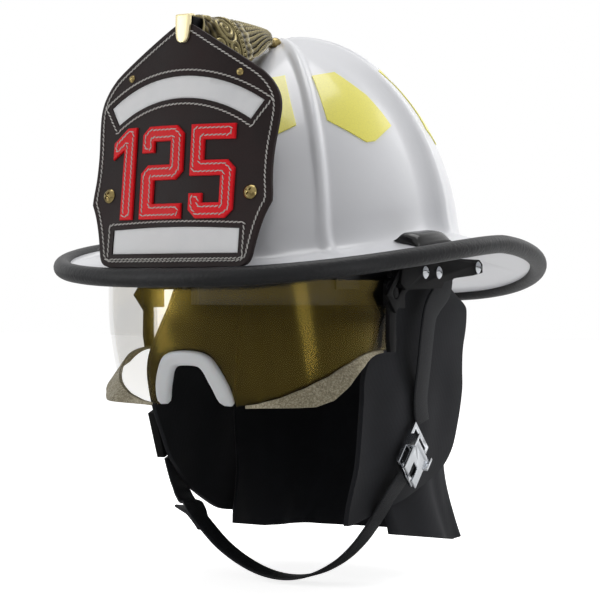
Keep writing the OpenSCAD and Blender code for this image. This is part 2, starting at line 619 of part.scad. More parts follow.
// One tail, drawn centred on the knob: its rack is the slot's upper edge
module tail(r0, r1) {
    translate([0, tail_mid_y, tail_z]) difference() {
        translate([0, 0, -tail_h / 2]) linear_extrude(tail_h) ring_sector(r0, r1, 3, 90 + slot_a + 5);
        translate([0, 0, -pinion_r - 1.4]) linear_extrude(2 * pinion_r + 0.6)
            ring_sector(r0 - 1, r1 + 1, 90 - slot_a, 90 + slot_a);
        for (k = [-6:6]) rotate(k * tooth_a) translate([0, r0 - 1, pinion_r - 0.81])
            rotate([-90, 0, 0]) linear_extrude(r1 - r0 + 2)
                polygon([[-1.5, 0.01], [1.5, 0.01], [0.95, -2.1], [-0.95, -2.1]]);
    }
}
module band_tail_left() { color("#3c3c40") tail(tail_r0, mesh_r - 0.2); }
module band_tail_right() {
    color("#3c3c40") translate([0, 0, tail_z]) rotate([0, 180, 0]) translate([0, 0, -tail_z])
        tail(mesh_r + 0.2, tail_r1);
}
housing_a = 17;
module ratchet_housing() {
    color("#1c1c1e") translate([0, tail_mid_y, 0]) difference() {
        translate([0, 0, band_z + 0.5]) linear_extrude(band_h - 1)
            ring_sector(tail_r0 - 2.6, tail_r1 + 2.6, 90 - housing_a, 90 + housing_a);
        translate([0, 0, tail_z - tail_h / 2 - gap]) linear_extrude(tail_h + 2 * gap)
            ring_sector(tail_r0 - 0.5, tail_r1 + 0.5, 85 - housing_a, 95 + housing_a);
        translate([0, tail_r1 - 1, tail_z]) rotate([-90, 0, 0]) cylinder(r = shaft_r + gap, h = 6, $fn = 32);
    }
}
shaft_r = 2.6;
knob_r = 12.5;
function pinion_outline() = [for (k = [0:pinion_teeth - 1]) let (a = 90 + k * 360 / pinion_teeth)
    each [for (q = [[-13, 3.7], [-8.2, 4.9], [-4.2, 5.8], [4.2, 5.8], [8.2, 4.9], [13, 3.7]])
        q[1] * [cos(a + q[0]), sin(a + q[0])]]];
module ratchet_knob() {
    color("#1c1c1e") translate([0, tail_mid_y, tail_z]) rotate([-90, 0, 0]) {
        translate([0, 0, tail_r0 - 0.1]) linear_extrude(tail_r1 - tail_r0 + 0.2) polygon(pinion_outline());
        translate([0, 0, tail_r1]) cylinder(r = shaft_r, h = 5, $fn = 32);
        difference() {
            translate([0, 0, tail_r1 + 3]) cylinder(r = knob_r, h = 10, $fn = 60);
            for (k = [0:11]) rotate(k * 30) translate([knob_r + 1.2, 0, tail_r1 + 2])
                cylinder(r = 2.3, h = 14, $fn = 20);
        }
    }
}

// Cushions of the head suspension, drawn in at their edges
PAD_Z = [band_z + 1.5, band_z + 4, band_z + 9, band_z + 19, band_z + 24, band_z + 26.5];
function pad_full(k) = [0.35, 0.8, 1, 1, 0.8, 0.35][k];
module brow_pad() {
    color("#38383a") sheet_skin([for (k = [0:5]) concat(
        [for (j = [-5:5]) [each band_pt(j * 11, band_t + 2.5), PAD_Z[k]]],
        [for (j = [5:-1:-5]) let (full = 6 * pad_full(k) * (1 - pow(j / 5.6, 4)))
            [each band_pt(j * 11, band_t + 2.7 + full), PAD_Z[k]]])]);
}
function nape_pt(a, r, z) = [r * sin(a), tail_mid_y + r * cos(a), z];
module nape_pad() {
    color("#38383a") sheet_skin([for (k = [0:5]) concat(
        [for (j = [4:-1:-4]) nape_pt(j * 9, tail_r0 - 2.9, PAD_Z[k])],
        [for (j = [-4:4]) let (full = 5.5 * pad_full(k) * (1 - pow(j / 4.6, 4)))
            nape_pt(j * 9, tail_r0 - 3.1 - full, PAD_Z[k])])]);
}

// Webbing over the head, its pad, and the hangers that carry the headband
web_in_t = 1.2;
// The webs run just inside the headband
web_inset = 3.5;
over_top = 100;
module crown_straps() {
    color("#2c2c2e") {
        webbing(concat([[band_half_w - web_inset, band_mid_y, -30]],
            [for (a = [0:15:180])
                [(band_half_w - web_inset) * cos(a), band_mid_y, -8 + (over_top + 8) * sin(a)]],
            [[web_inset - band_half_w, band_mid_y, -30]]), [0, 1, 0], 18, web_in_t);
        webbing(concat([[0, band_mid_y - band_half_l + web_inset, -30]],
            [for (a = [0:15:180]) [0, band_mid_y - 3 - (band_half_l - web_inset - 3) * cos(a),
                -8 + (over_top + 9.5) * sin(a)]],
            [[0, band_mid_y + band_half_l - web_inset - 6, -12.8]]), [1, 0, 0], 18, web_in_t);
    }
}
function pad_ring(r, z) = [for (k = [0:19]) [r * cos(18 * k), band_mid_y + r * sin(18 * k), z]];
function under_web(r) = -9.8 + (over_top + 8) * sqrt(1 - pow(r / (band_half_w - web_inset), 2));
module crown_pad() {
    color("#38383a") poled_skin([pad_ring(20, under_web(20) - 5), pad_ring(27, under_web(27) - 3.6),
        pad_ring(29, under_web(29) - 1.6), pad_ring(26, under_web(26)), pad_ring(14, under_web(14))],
        [0, band_mid_y, under_web(0) - 6.5], [0, band_mid_y, under_web(0)]);
}
module band_hangers() {
    color("#2c2c2e") for (a = [-112, -52, 52, 112]) let (p = band_pt(a, -3.4))
        translate([p.x, p.y, band_z + 10]) rotate(atan2(p.y - band_mid_y, p.x))
            translate([-1.5, -8, 0]) cube([3, 16, liner_rim - 0.3 - band_z - 10]);
}

// Ear cover: a band under the brim, a cape round the nape and a flap over each ear
cover_half_w = 87.5;
cover_rear = 126;
cover_n = 2.6;
cover_z = -22;
function cover_y(x) = cover_rear * pow(1 - pow(abs(x) / cover_half_w, cover_n), 1 / cover_n);
function u_pt(a, w, l, n) = [w * spow(sin(a), n), l * spow(cos(a), n)];
module cover_band() {
    color("#1c1c1e") {
        translate([0, 0, cover_z]) linear_extrude(8) polygon(concat(
            [for (a = [100:-5:-100]) u_pt(a, cover_half_w, cover_rear, cover_n)],
            [for (a = [-100:5:100]) u_pt(a, cover_half_w - cloth_t, cover_rear - cloth_t, cover_n)]));
        for (m = [-1, 1]) translate([m * (cover_half_w + 5.2) - 5.5, 35.5, cover_z + 1.5]) cube([11, 8, 5]);
        for (x = [-48, 0, 48]) translate([x - 6, cover_y(x) - 3.6, cover_z + 6])
            cube([12, 3, x == 0 ? 3.4 : 4.3]);
    }
}
// One row of the cape: height, half width, rear reach, squareness, fold depth, angle covered right and left
CAPE = [[-cover_drop, 84, 114, 4.2, 2.2, 84, 91.5], [-cover_drop + 12, 81, 115, 3.8, 2, 84, 92],
    [-cover_drop + 30, 78, 118, 3.2, 1.6, 82, 93.3], [-158, 77, 121, 2.8, 1.2, 80, 94],
    [-130, 77, 123, 2.6, 0.9, 80, 87.8], [-100, 78, 124, 2.6, 0.6, 80, 80], [-70, 79, 125, 2.6, 0.4, 78, 78],
    [-40, 81, 126, 2.6, 0.2, 74, 74], [-30, 80.5, 124.5, 2.6, 0, 66, 66],
    [cover_z - 0.3, cover_half_w, cover_rear, cover_n, 0, 58, 58]];
cape_steps = 22;
// The hem rises towards the front, and the cape's front edge lies inside the flap
hem_rise = 14;
cape_tuck = 5;
function hem_lift(y, z) = hem_rise * max(0, min(1, (75 - y) / 95)) * blend01(-130, -cover_drop, z);
function cape_pt(row, i, inset) = let (a = (i > 0 ? row[6] : row[5]) * i / cape_steps,
    p = u_pt(a, row[1] - inset, row[2] - inset, row[3]), f = row[4] * sin(a * 9 + 20),
    y = p.y + f * cos(a))
    [p.x + f * sin(a) - sign(p.x) * cape_tuck * blend01(30, -20, y), y, row[0] + hem_lift(y, row[0])];
module neck_cape() {
    color("#202022") sheet_skin([for (row = CAPE) concat(
        [for (i = [cape_steps:-1:-cape_steps]) cape_pt(row, i, 0)],
        [for (i = [-cape_steps:cape_steps]) cape_pt(row, i, cloth_t)])]);
}
// One row of a flap: height, front edge, rear edge, half width
FLAP_TOP = [[-72, -61, 89, 86.6], [-56, -50, 97, 86.6], [-43, -40, 98, 86.6], [-35, -35, 89, 86.6],
    [-29, -31, 72, 86.6], [cover_z - 0.3, -20, 56, 87.5]];
FLAP = concat([[-181, -74, -68, 78], [-176, -75, -38, 79], [-168, -77, 0, 81.5], [-156, -80, 40, 86],
    [-142, -81, 57, 89.8], [-122, -80, 66, 91.2], [-100, -77, 74, 91], [-86, -72, 81, 88.5]], FLAP_TOP);
flap_steps = 12;
// Above, the flap follows the band; below, it hangs flatter, in waves
function flap_tight(y) = pow(1 - pow(max(0, y) / cover_rear, cover_n), 1 / cover_n);
function flap_wave(y, z) = 1.3 * blend01(0, 1, (-60 - z) / 50) * sin(y * 3.1 + z * 0.6 + 40);
function flap_x(y, w, z) = w * mix(1 - 0.00001 * pow(max(0, y), 2), flap_tight(y), blend01(-44, -24, z))
    - flap_wave(y, z);
function flap_pt(row, i, inset) = let (y = mix(row[1], row[2], i / flap_steps))
    [flap_x(y, row[3], row[0]) - inset, y, row[0]];
// The right flap is drawn back by its strap
FLAP_BACK = concat([[-192, 48, 58, 92.5], [-188, 28, 62, 92.5], [-171, -5, 66, 91], [-158, -20, 67, 91],
    [-146, -32, 67, 91.2], [-128, -42, 69, 91.2], [-112, -51, 71, 91.2], [-96, -57, 75, 91],
    [-84, -62, 82, 88.5]], FLAP_TOP);
module flap(rows) {
    sheet_skin([for (row = rows) concat([for (i = [0:flap_steps]) flap_pt(row, i, 0)],
        [for (i = [flap_steps:-1:0]) flap_pt(row, i, cloth_t)])]);
}
module ear_flap_left() { color("#202022") flap(FLAP); }
module ear_flap_right() { color("#202022") right_side() flap(FLAP_BACK); }

// Chin strap: a leg down each side, the loop under the chin, a cam buckle and a slide clip
strap_x = plate_x - web_t / 2 - 0.1;
LEG_LEFT = [[strap_x, strap_peg_y, -11], [strap_x, strap_peg_y - 1, -27], [strap_x, 9, -37],
    [97.5, 0, -48], [96, -5, -80], [95.2, -8.5, -103], [95.2, -6, -118]];
LEG_RIGHT = [[-strap_x, strap_peg_y, -11], [-strap_x, strap_peg_y - 1, -27], [-strap_x, 12, -42],
    [-97.4, -6, -66], [-96.8, -22, -90], [-96.4, -29, -103.3]];
module strap_left() { color("#2a2a2c") webbing(LEG_LEFT, [0, 1, 0], web_w, web_t); }
module strap_right() { color("#2a2a2c") webbing(LEG_RIGHT, [0, 1, 0], web_w, web_t); }
loop_k = 0.0077;
CHIN_X = [88, 80, 70, 58, 44, 28, 12, -4, -20, -36, -50, -62, -71];
function chin_pt(x) = let (drawn = x > 50 ? 0.28 * (50 - x) : x < -50 ? -0.15 * (x + 50) : 0)
    [x, -22 - 0.0011 * x * x + drawn, -strap_drop + loop_k * x * x];
module chin_strap() {
    color("#2a2a2c") {
        webbing(concat([[94.6, -33, -152.5]], [for (x = CHIN_X) chin_pt(x)], [[-80, -17, -181],
            [-88, -14, -178], [-95.2, -12, -167], [-96.8, -19, -146]]),
            [0, 1, 0], web_w, web_t);
        webbing([[-64, -25, -197.2], [-70, -23, -191.6], [-78, -18, -187.4], [-91, -11, -184]],
            [0, 1, 0], web_w - 2, web_t);
    }
}
buckle_at = [95.8, -21, -138];
buckle_tilt = -45;
lever_pin = [4.6, 3];
module buckle_place() { translate(buckle_at) rotate([buckle_tilt, 0, 0]) children(); }
module buckle_frame() {
    color("silver") buckle_place() {
        difference() {
            translate([-1.2, -13, -17]) cube([2.4, 26, 34]);
            translate([-2, -9.8, 5]) cube([4, 19.6, 8.5]);
            translate([-2, -9.8, -13.5]) cube([4, 19.6, 12]);
        }
        for (s = [-1, 1]) translate([1.1, s * 12 - 1, -3]) cube([6.5, 2, 10]);
        translate([lever_pin.x, -12.5, lever_pin.y]) rotate([-90, 0, 0]) cylinder(r = 1, h = 25, $fn = 20);
    }
}
module buckle_lever() {
    color("gainsboro") buckle_place() difference() {
        union() {
            translate([lever_pin.x, -10.6, lever_pin.y]) rotate([-90, 0, 0])
                cylinder(r = 2.3, h = 21.2, $fn = 28);
            translate([lever_pin.x - 0.6, -10.6, -20]) cube([1.8, 21.2, 23]);
        }
        translate([lever_pin.x, -13, lever_pin.y]) rotate([-90, 0, 0]) cylinder(r = 1 + gap, h = 26, $fn = 20);
        translate([lever_pin.x - 2, -3.5, -21]) cube([5, 7, 12]);
    }
}
module strap_clip_right() {
    color("#1c1c1e") translate([-96.3, -27, -127.5]) rotate([20, 0, 0]) difference() {
        translate([-3.2, -13, -17]) cube([6.4, 26, 34]);
        for (z = [-12, 3]) translate([-4, -10, z]) cube([8, 20, 7]);
    }
}

shell();
edge_trim();
impact_liner();
leather_front();
upper_panel();
lower_panel();
front_screws();
front_rivets();
crest();
crest_tongue();
tip_pad();
crest_knob();
reflective_trim();
side_cover_left();
side_cover_right();
bracket_left();
bracket_right();
bracket_screws();
track_left();
track_right();
visor_lens();
visor_skirt();
nose_guard();
visor_arm_left();
visor_arm_right();
headband();
brow_pad();
crown_straps();
crown_pad();
band_hangers();
ratchet_housing();
band_tail_left();
band_tail_right();
ratchet_knob();
nape_pad();
cover_band();
neck_cape();
ear_flap_left();
ear_flap_right();
strap_left();
strap_right();
chin_strap();
buckle_frame();
buckle_lever();
strap_clip_right();
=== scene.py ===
import json
import math

import bmesh
import bpy
import numpy as np
from mathutils import Matrix, Vector


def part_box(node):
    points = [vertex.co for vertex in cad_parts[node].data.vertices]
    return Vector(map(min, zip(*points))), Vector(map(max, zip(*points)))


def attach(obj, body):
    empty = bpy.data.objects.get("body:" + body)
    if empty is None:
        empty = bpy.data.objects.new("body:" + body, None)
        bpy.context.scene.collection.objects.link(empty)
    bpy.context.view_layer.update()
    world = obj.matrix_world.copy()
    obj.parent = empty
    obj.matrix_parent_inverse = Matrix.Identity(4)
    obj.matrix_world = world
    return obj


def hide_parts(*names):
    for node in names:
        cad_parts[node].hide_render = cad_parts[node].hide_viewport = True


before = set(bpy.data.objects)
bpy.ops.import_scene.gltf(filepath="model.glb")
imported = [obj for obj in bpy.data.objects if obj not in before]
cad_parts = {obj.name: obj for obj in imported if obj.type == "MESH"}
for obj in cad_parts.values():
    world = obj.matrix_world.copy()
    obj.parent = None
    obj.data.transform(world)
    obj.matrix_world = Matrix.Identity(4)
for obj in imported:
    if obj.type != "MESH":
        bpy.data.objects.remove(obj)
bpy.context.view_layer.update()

bl_info = {
    "name": "Traditional Fire Helmet",
    "version": (1, 0, 0),
    "blender": (4, 5, 0),
    "location": "3D View > Sidebar > Helmet",
    "description": "Dresses the solids of a traditional fire helmet with its real surfaces",
    "category": "Add Mesh",
}

MM = 0.001

# Sizes in millimetres, as the solids have them but for the ridges and the leather front's place
CROWN_HALF_W, CROWN_FRONT, CROWN_REAR, CROWN_H = 104.5, 144.0, 115.0, 141.0
CROWN_N_FRONT, CROWN_N_REAR, CROWN_P = 2.5, 2.1, 1.9
SHELL_T = 2.6
RIDGE_H, RIDGE_HALF_W, RIB_H, RIB_HALF_W = 6.6, 24.0, 3.2, 6.0
POLE_RISE = 0.33        # share of the ridges' height that is left at the pole, where they meet
RIDGE_FLAT = 0.09       # share of a ridge's half width that lies flat along its top
POLE_Y, SIDE_RIDGE_Y = -27.0, 1.0
BRIM_HALF_W, BRIM_FRONT, BRIM_REAR, BRIM_MID_Y = 147.0, 168.0, 212.0, 6.7
BRIM_N_FRONT, BRIM_N_REAR = 2.5, 2.07
FRONT_DROOP, REAR_DROOP = 22.8, 32.4
FOOT_SIDE, FOOT_FRONT, FOOT_REAR, FOOT_FILLET = 4.0, 16.0, 12.0, 9.0
RIM_SHORT = 1.4
LEATHER_Y, LEATHER_Z, LEATHER_LEAN, LEATHER_CURL = -160.0, -18.5, 4.9, 2.0e-5
LEATHER_T = 3.2
COVER_Z = -22.0
BASE_Z = -230.0
# Of the scene alone: the stitches' slant in degrees, the size of a cushion's faces and its swelling
STITCH_SLANT, CUSHION_FACE, CUSHION_SWELL = 17, 3.0, 1.6


# ---------- number helpers ----------

def spow(value, n):
    """Signed power, for rounded-square outlines."""
    return np.sign(value) * np.abs(value) ** (2 / n)


def mix(a, b, share):
    return a + (b - a) * share


def blend01(low, high, value):
    share = np.clip((np.asarray(value, float) - low) / (high - low), 0, 1)
    return share * share * (3 - 2 * share)


def lookup(value, table):
    rows = np.array(table, float)
    return np.interp(value, rows[:, 0], rows[:, 1])


def through(rows, count):
    """Rows resampled along a smooth curve through them."""
    rows = np.array(rows, float)
    place = np.linspace(0, len(rows) - 1, count)
    i = np.minimum(place.astype(int), len(rows) - 2)
    s = (place - i)[:, None]
    p0, p1 = rows[np.maximum(i - 1, 0)], rows[i]
    p2, p3 = rows[i + 1], rows[np.minimum(i + 2, len(rows) - 1)]
    return 0.5 * (2 * p1 + (p2 - p0) * s + (2 * p0 - 5 * p1 + 4 * p2 - p3) * s ** 2
                  + (3 * p1 - p0 - 3 * p2 + p3) * s ** 3)


def unit(v):
    v = np.asarray(v, float)
    return v / np.maximum(np.linalg.norm(v, axis=-1, keepdims=True), 1e-9)


def run_length(points):
    """Length along a line of points, at each of them."""
    return np.concatenate([[0], np.cumsum(np.linalg.norm(np.diff(points, axis=0), axis=1))])


def cosd(a):
    return np.cos(np.radians(a))


def sind(a):
    return np.sin(np.radians(a))


# ---------- the shell's shape, after the rules of its solid ----------

def crown_plan(t, inset=0.0):
    front = cosd(t) > 0
    n = np.where(front, CROWN_N_FRONT, CROWN_N_REAR)
    reach = np.where(front, CROWN_FRONT, CROWN_REAR) - inset
    return (CROWN_HALF_W - inset) * spow(sind(t), n), -reach * spow(cosd(t), n)


def crown_share(x, y, inset):
    n = np.where(y < 0, CROWN_N_FRONT, CROWN_N_REAR)
    reach = np.where(y < 0, CROWN_FRONT, CROWN_REAR) - inset
    return ((np.abs(x) / (CROWN_HALF_W - inset)) ** n + (np.abs(y) / reach) ** n) ** (1 / n)


def dome(x, y, inset=0.0):
    share = np.minimum(1, crown_share(np.asarray(x, float), np.asarray(y, float), inset))
    return (CROWN_H - inset) * np.maximum(0, 1 - share ** CROWN_P) ** (1 / CROWN_P)


def foot_z(t):
    drop = np.where(cosd(t) > 0, FOOT_FRONT, FOOT_REAR)
    return FOOT_SIDE - drop * np.abs(cosd(t)) ** 1.4


def ridge_at(t, share):
    """How far the ridges and ribs stand out at column t and plan share."""
    x, y = crown_plan(t)
    out = np.zeros_like(x)
    for k in range(1, 8):
        lx, ly = crown_plan(np.array(45.0 * k))
        ly = ly - POLE_Y
        if k in (2, 6):
            lx, ly = math.copysign(CROWN_HALF_W, 4 - k), SIDE_RIDGE_Y - POLE_Y
        off = np.abs(x * ly - (y - POLE_Y) * lx) / math.hypot(lx, ly)
        off = np.where(x * lx + (y - POLE_Y) * ly < 0, 1e3, off) * share
        if k % 2 == 0:
            wide = RIDGE_HALF_W * (1.1 - 0.1 * share)
            flank = np.clip((off / wide - RIDGE_FLAT) / (1 - RIDGE_FLAT), 0, 1)
            rise = RIDGE_H * mix(POLE_RISE, 1.0, share) * (1 - flank) ** 1.9
        else:
            rise = RIB_H * (1 - np.minimum(1, off / RIB_HALF_W) ** 2) ** 2
        out = np.maximum(out, rise)
    return out


def crown_pt(t, e, inset=0.0):
    """Points of the crown at columns t and upright angle e, inset from its outer face."""
    t = np.atleast_1d(np.asarray(t, float))
    share = cosd(e) ** (2 / CROWN_P)
    x, y = crown_plan(t, inset)
    x, y = x * share, y * share + POLE_Y * (1 - share)
    z = dome(x, y, inset) + foot_z(t) * np.minimum(1, crown_share(x, y, inset)) ** CROWN_P
    point = np.stack([x, y, z], 1)
    out = unit(np.stack([x, y, np.maximum(0, z)], 1))
    return point + out * ridge_at(t, share)[:, None]


def brim_edge(t):
    front = cosd(t) > 0
    n = np.where(front, BRIM_N_FRONT, BRIM_N_REAR)
    share = np.abs(cosd(t)) ** (2 / n)
    z = np.where(front, -FRONT_DROOP * share ** 1.41, -REAR_DROOP * share ** 1.55)
    reach = np.where(front, BRIM_FRONT + BRIM_MID_Y, BRIM_REAR - BRIM_MID_Y)
    return np.stack([BRIM_HALF_W * spow(sind(t), n), BRIM_MID_Y - reach * spow(cosd(t), n), z], 1)


def foot_pt(t, inset=0.0):
    x, y = crown_plan(t, inset)
    return np.stack([x, y, foot_z(t)], 1)


def brim_len(t):
    return np.linalg.norm(brim_edge(t) - foot_pt(t), axis=1)[:, None]


def brim_pt(t, q, inset, up):
    """Points of the brim at share q of the way out; the ribs run out on it and fade."""
    rib = ridge_at(t, 1.0)[:, None] * 0.5 * (1 - blend01(0.1, 0.75, q))
    return mix(foot_pt(t, inset), brim_edge(t), q) + [0, 0, 1] * (up + rib)


def fillet_pt(t, s, inset, up):
    a = brim_pt(t, FOOT_FILLET / brim_len(t), inset, up)
    c = crown_pt(t, 9, inset)
    out = unit(foot_pt(t) * [1, 1, 0])
    b = foot_pt(t, inset) + [0, 0, up] + (out + [0, 0, 0.5]) * ridge_at(t, 1.0)[:, None]
    return mix(mix(a, b, s), mix(b, c, s), s)


# ---------- the leather front's shape ----------

LEATHER_LOW = [[2.2, 48], [4.2, 53.5], [8, 56.3], [15, 57.8], [25, 60], [35, 63.2], [43, 67]]
LEATHER_HIGH = [[43, 67], [48, 66.8], [60, 65.6], [75, 65.6], [90, 67], [101, 67.6], [109, 66.2],
                [116, 62.5], [122, 57.3], [128, 49.5], [145, 22], [153, 9], [156.2, 2.6], [157, 1]]


def leather_rows():
    """Height up the leather front and half width there."""
    return np.vstack([through(LEATHER_LOW, 20)[:-1], through(LEATHER_HIGH, 60)])


def leather_bend(x, h):
    """The sides bend back, more towards the top."""
    return -LEATHER_CURL * h * x * x


def on_leather(flat):
    """Points (x, height, distance out) on the leather front, placed on the helmet."""
    flat = np.asarray(flat, float)
    x, h, out = flat[:, 0], flat[:, 1], flat[:, 2]
    out = out + leather_bend(x, h)
    c, s = cosd(90 - LEATHER_LEAN), sind(90 - LEATHER_LEAN)
    return np.stack([x, LEATHER_Y + h * c - out * s, LEATHER_Z + h * s + out * c], 1)


def leather_normal(flat):
    flat = np.asarray(flat, float)
    x, h = flat[:, 0], flat[:, 1]
    c, s = cosd(90 - LEATHER_LEAN), sind(90 - LEATHER_LEAN)
    across, along = 2 * LEATHER_CURL * h * x, LEATHER_CURL * x * x
    return unit(np.stack([across, along * c - s, along * s + c], 1))


def arch_outline(r_out, r_in, half, grow=0.0):
    """A curved band about the upper panel's centre, grown on all sides."""
    mid, angle = 18.0, half + math.degrees(grow / ((r_out + r_in) / 2))
    a = np.linspace(-angle, angle, 25)
    r0, r1 = r_out + grow, r_in - grow
    top = np.stack([r0 * sind(a), mid + r0 * cosd(a)], 1)
    low = np.stack([r1 * sind(a[::-1]), mid + r1 * cosd(a[::-1])], 1)
    return np.vstack([top, low])[::-1]


def bar_outline(half_w, low, high, grow=0.0):
    """The lower panel: straight below, slightly arched above."""
    x = np.linspace(-half_w - grow, half_w + grow, 13)
    arch = 1.4 * cosd(90 * x / (half_w + grow)) + high + grow
    base = np.stack([x, np.full_like(x, low - grow)], 1)
    top = np.stack([x[::-1], arch[::-1]], 1)
    return np.vstack([base, top])


# Outlines of three plain block digits, 58 mm high
DIGITS = {
    "1": [(9, 0), (18, 0), (18, 58), (11, 58), (0, 49), (0, 39), (9, 45)],
    "2": [(0, 0), (31, 0), (31, 9), (9.5, 9), (9.5, 24.5), (26, 24.5), (31, 29.5), (31, 53), (26, 58),
          (5, 58), (0, 53), (0, 42), (9, 42), (9, 49), (22, 49), (22, 33.5), (5, 33.5), (0, 28.5)],
    "5": [(5, 0), (26, 0), (31, 5), (31, 30.5), (26, 35.5), (9, 35.5), (9, 49), (30, 49), (30, 58),
          (0, 58), (0, 26.5), (22, 26.5), (22, 9), (9, 9), (9, 15), (0, 15), (0, 5)],
}


def grown(outline, distance):
    """A counter-clockwise outline moved outwards by distance, with mitred corners."""
    p = np.asarray(outline, float)
    along = unit(np.roll(p, -1, 0) - p)
    normal = np.stack([along[:, 1], -along[:, 0]], 1)
    before = np.roll(normal, 1, 0)
    both = unit(normal + before)
    stretch = np.clip((both * normal).sum(1), 0.4, 1)
    return p + both * (distance / stretch)[:, None]


# ---------- meshes ----------

def new_object(name, data):
    """An object at the origin, in the scene."""
    piece = bpy.data.objects.new(name, data)
    bpy.context.scene.collection.objects.link(piece)
    return piece


def shade(mesh, sharp):
    """Smooth shading but at edges sharper than the angle."""
    mesh.shade_smooth()
    mesh.set_sharp_from_angle(angle=math.radians(sharp))


def make_mesh(name, points_mm, faces, sharp=35.0, uv=None):
    """A mesh object at the origin from points in millimetres, smooth but for its sharp edges."""
    mesh = bpy.data.meshes.new(name)
    mesh.from_pydata((np.asarray(points_mm, float) * MM).tolist(), [], faces)
    mesh.validate()
    if uv is not None:
        layer = mesh.uv_layers.new(name="UVMap")
        corner = np.zeros(len(mesh.loops), int)
        mesh.loops.foreach_get("vertex_index", corner)
        layer.data.foreach_set("uv", np.asarray(uv, np.float32)[corner].ravel())
    tidy_mesh(mesh, sharp)
    return new_object(name, mesh)


def tidy_mesh(mesh, sharp):
    """Turns all faces outwards and shades them."""
    work = bmesh.new()
    work.from_mesh(mesh)
    bmesh.ops.recalc_face_normals(work, faces=work.faces)
    work.to_mesh(mesh)
    work.free()
    shade(mesh, sharp)


def skin(rings, poles=None, ends=False, capped=False):
    """Points and faces of rings joined one to the next. The first and last ring can be closed by
    poles, by rungs across a ring that runs out and back (ends) or by one face each (capped)."""
    rings = [np.asarray(r, float) for r in rings]
    n, last = len(rings[0]), (len(rings) - 1) * len(rings[0])
    points = np.vstack(rings)
    faces = [(i + j, i + (j + 1) % n, i + n + (j + 1) % n, i + n + j)
             for i in range(0, last, n) for j in range(n)]
    if poles is not None:
        for j in range(n):
            faces += [(last + n, (j + 1) % n, j), (last + n + 1, last + j, last + (j + 1) % n)]
        points = np.vstack([points, poles])
    for base in (0, last):
        if ends:
            faces += [(base + k, base + k + 1, base + n - 2 - k, base + n - 1 - k)
                      for k in range(n // 2 - 1)]
        if capped:
            faces.append(tuple(range(base, base + n)))
    return points, faces


def plate(outline, levels, grid=5.0, place=on_leather):
    """A solid over a flat outline: levels are (growth, height) pairs, from its base up. It is cut
    on a grid, so that it bends where place lays it, a little beside the outline's own corners."""
    rings = [np.hstack([grown(outline, g), np.full((len(outline), 1), z)]) for g, z in levels]
    points, faces = skin(rings, capped=True)
    work = bmesh.new()
    verts = [work.verts.new(p) for p in points]
    for f in faces:
        work.faces.new([verts[i] for i in f])
    bmesh.ops.remove_doubles(work, verts=work.verts, dist=1e-4)
    low, high, beside = points.min(0), points.max(0), 0.013
    for axis, normal in enumerate(((1, 0, 0), (0, 1, 0))):
        for c in np.arange(math.ceil(low[axis] / grid) * grid, high[axis], grid):
            bmesh.ops.bisect_plane(work, geom=work.verts[:] + work.edges[:] + work.faces[:],
                                   plane_co=Vector(normal) * (c + beside), plane_no=normal, dist=1e-4)
    bmesh.ops.triangulate(work, faces=[f for f in work.faces if len(f.verts) > 4])
    flat = np.array([v.co[:] for v in work.verts])
    for v, p in zip(work.verts, place(flat) * MM):
        v.co = p
    mesh = bpy.data.meshes.new("plate")
    work.to_mesh(mesh)
    work.free()
    return mesh


def mesh_piece(name, mesh, sharp=35.0):
    """An object of a mesh that is already in metres."""
    mesh.name = name
    tidy_mesh(mesh, sharp)
    return new_object(name, mesh)


def joined(name, pieces):
    """One mesh object from several that share a body and a finish."""
    work = bmesh.new()
    for p in pieces:
        work.from_mesh(p.data)
    mesh = bpy.data.meshes.new(name)
    work.to_mesh(mesh)
    work.free()
    for p in pieces:
        bpy.data.objects.remove(p)
    shade(mesh, 35)
    return new_object(name, mesh)


def applied(piece):
    """Turns the piece's modifiers into plain mesh."""
    graph = bpy.context.evaluated_depsgraph_get()
    mesh = bpy.data.meshes.new_from_object(piece.evaluated_get(graph))
    piece.modifiers.clear()
    piece.data = mesh


def cut(piece, tool):
    """Takes the tool's mesh out of the piece."""
    cutter = mesh_piece("cutter", tool)
    difference = piece.modifiers.new("cut", "BOOLEAN")
    difference.object = cutter
    difference.operation = "DIFFERENCE"
    difference.solver = "EXACT"
    applied(piece)
    bpy.data.objects.remove(cutter)


def softened(name, node, edge_mm):
    """A copy of a CAD node with its flat triangles merged and its edges rounded."""
    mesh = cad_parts[node].data.copy()
    work = bmesh.new()
    work.from_mesh(mesh)
    bmesh.ops.remove_doubles(work, verts=work.verts, dist=2e-6)
    bmesh.ops.dissolve_limit(work, angle_limit=math.radians(1), verts=work.verts, edges=work.edges)
    work.to_mesh(mesh)
    work.free()
    mesh.materials.clear()
    piece = new_object(name, mesh)
    bevel = piece.modifiers.new("rounded edges", "BEVEL")
    bevel.width = edge_mm * MM
    bevel.segments = 2
    bevel.limit_method = "ANGLE"
    bevel.angle_limit = math.radians(32)
    applied(piece)
    shade(piece.data, 50)
    return piece


def give(piece, finish, nodes=(), body="helmet"):
    """Puts a piece's finish in its one material slot, hides the nodes that it stands for and hangs it
    on the body that it rides on.
    """
    piece.data.materials.clear()
    piece.data.materials.append(once(finish))
    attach(piece, body)
    if nodes:
        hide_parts(*nodes)
    return piece


def dressed(name, node, edge_mm, finish, body="helmet"):
    """A piece that is the CAD node itself with its edges rounded."""
    return give(softened(name, node, edge_mm), finish, [node], body)


made = {}


def once(maker):
    """What a maker of a finish or a tree makes, made the first time only."""
    if maker not in made:
        made[maker] = maker()
    return made[maker]


# ---------- materials ----------

def linear(code):
    """sRGB hex to linear colour."""
    parts = [int(code[i:i + 2], 16) / 255 for i in (1, 3, 5)]
    return [c / 12.92 if c <= 0.04045 else ((c + 0.055) / 1.055) ** 2.4 for c in parts]


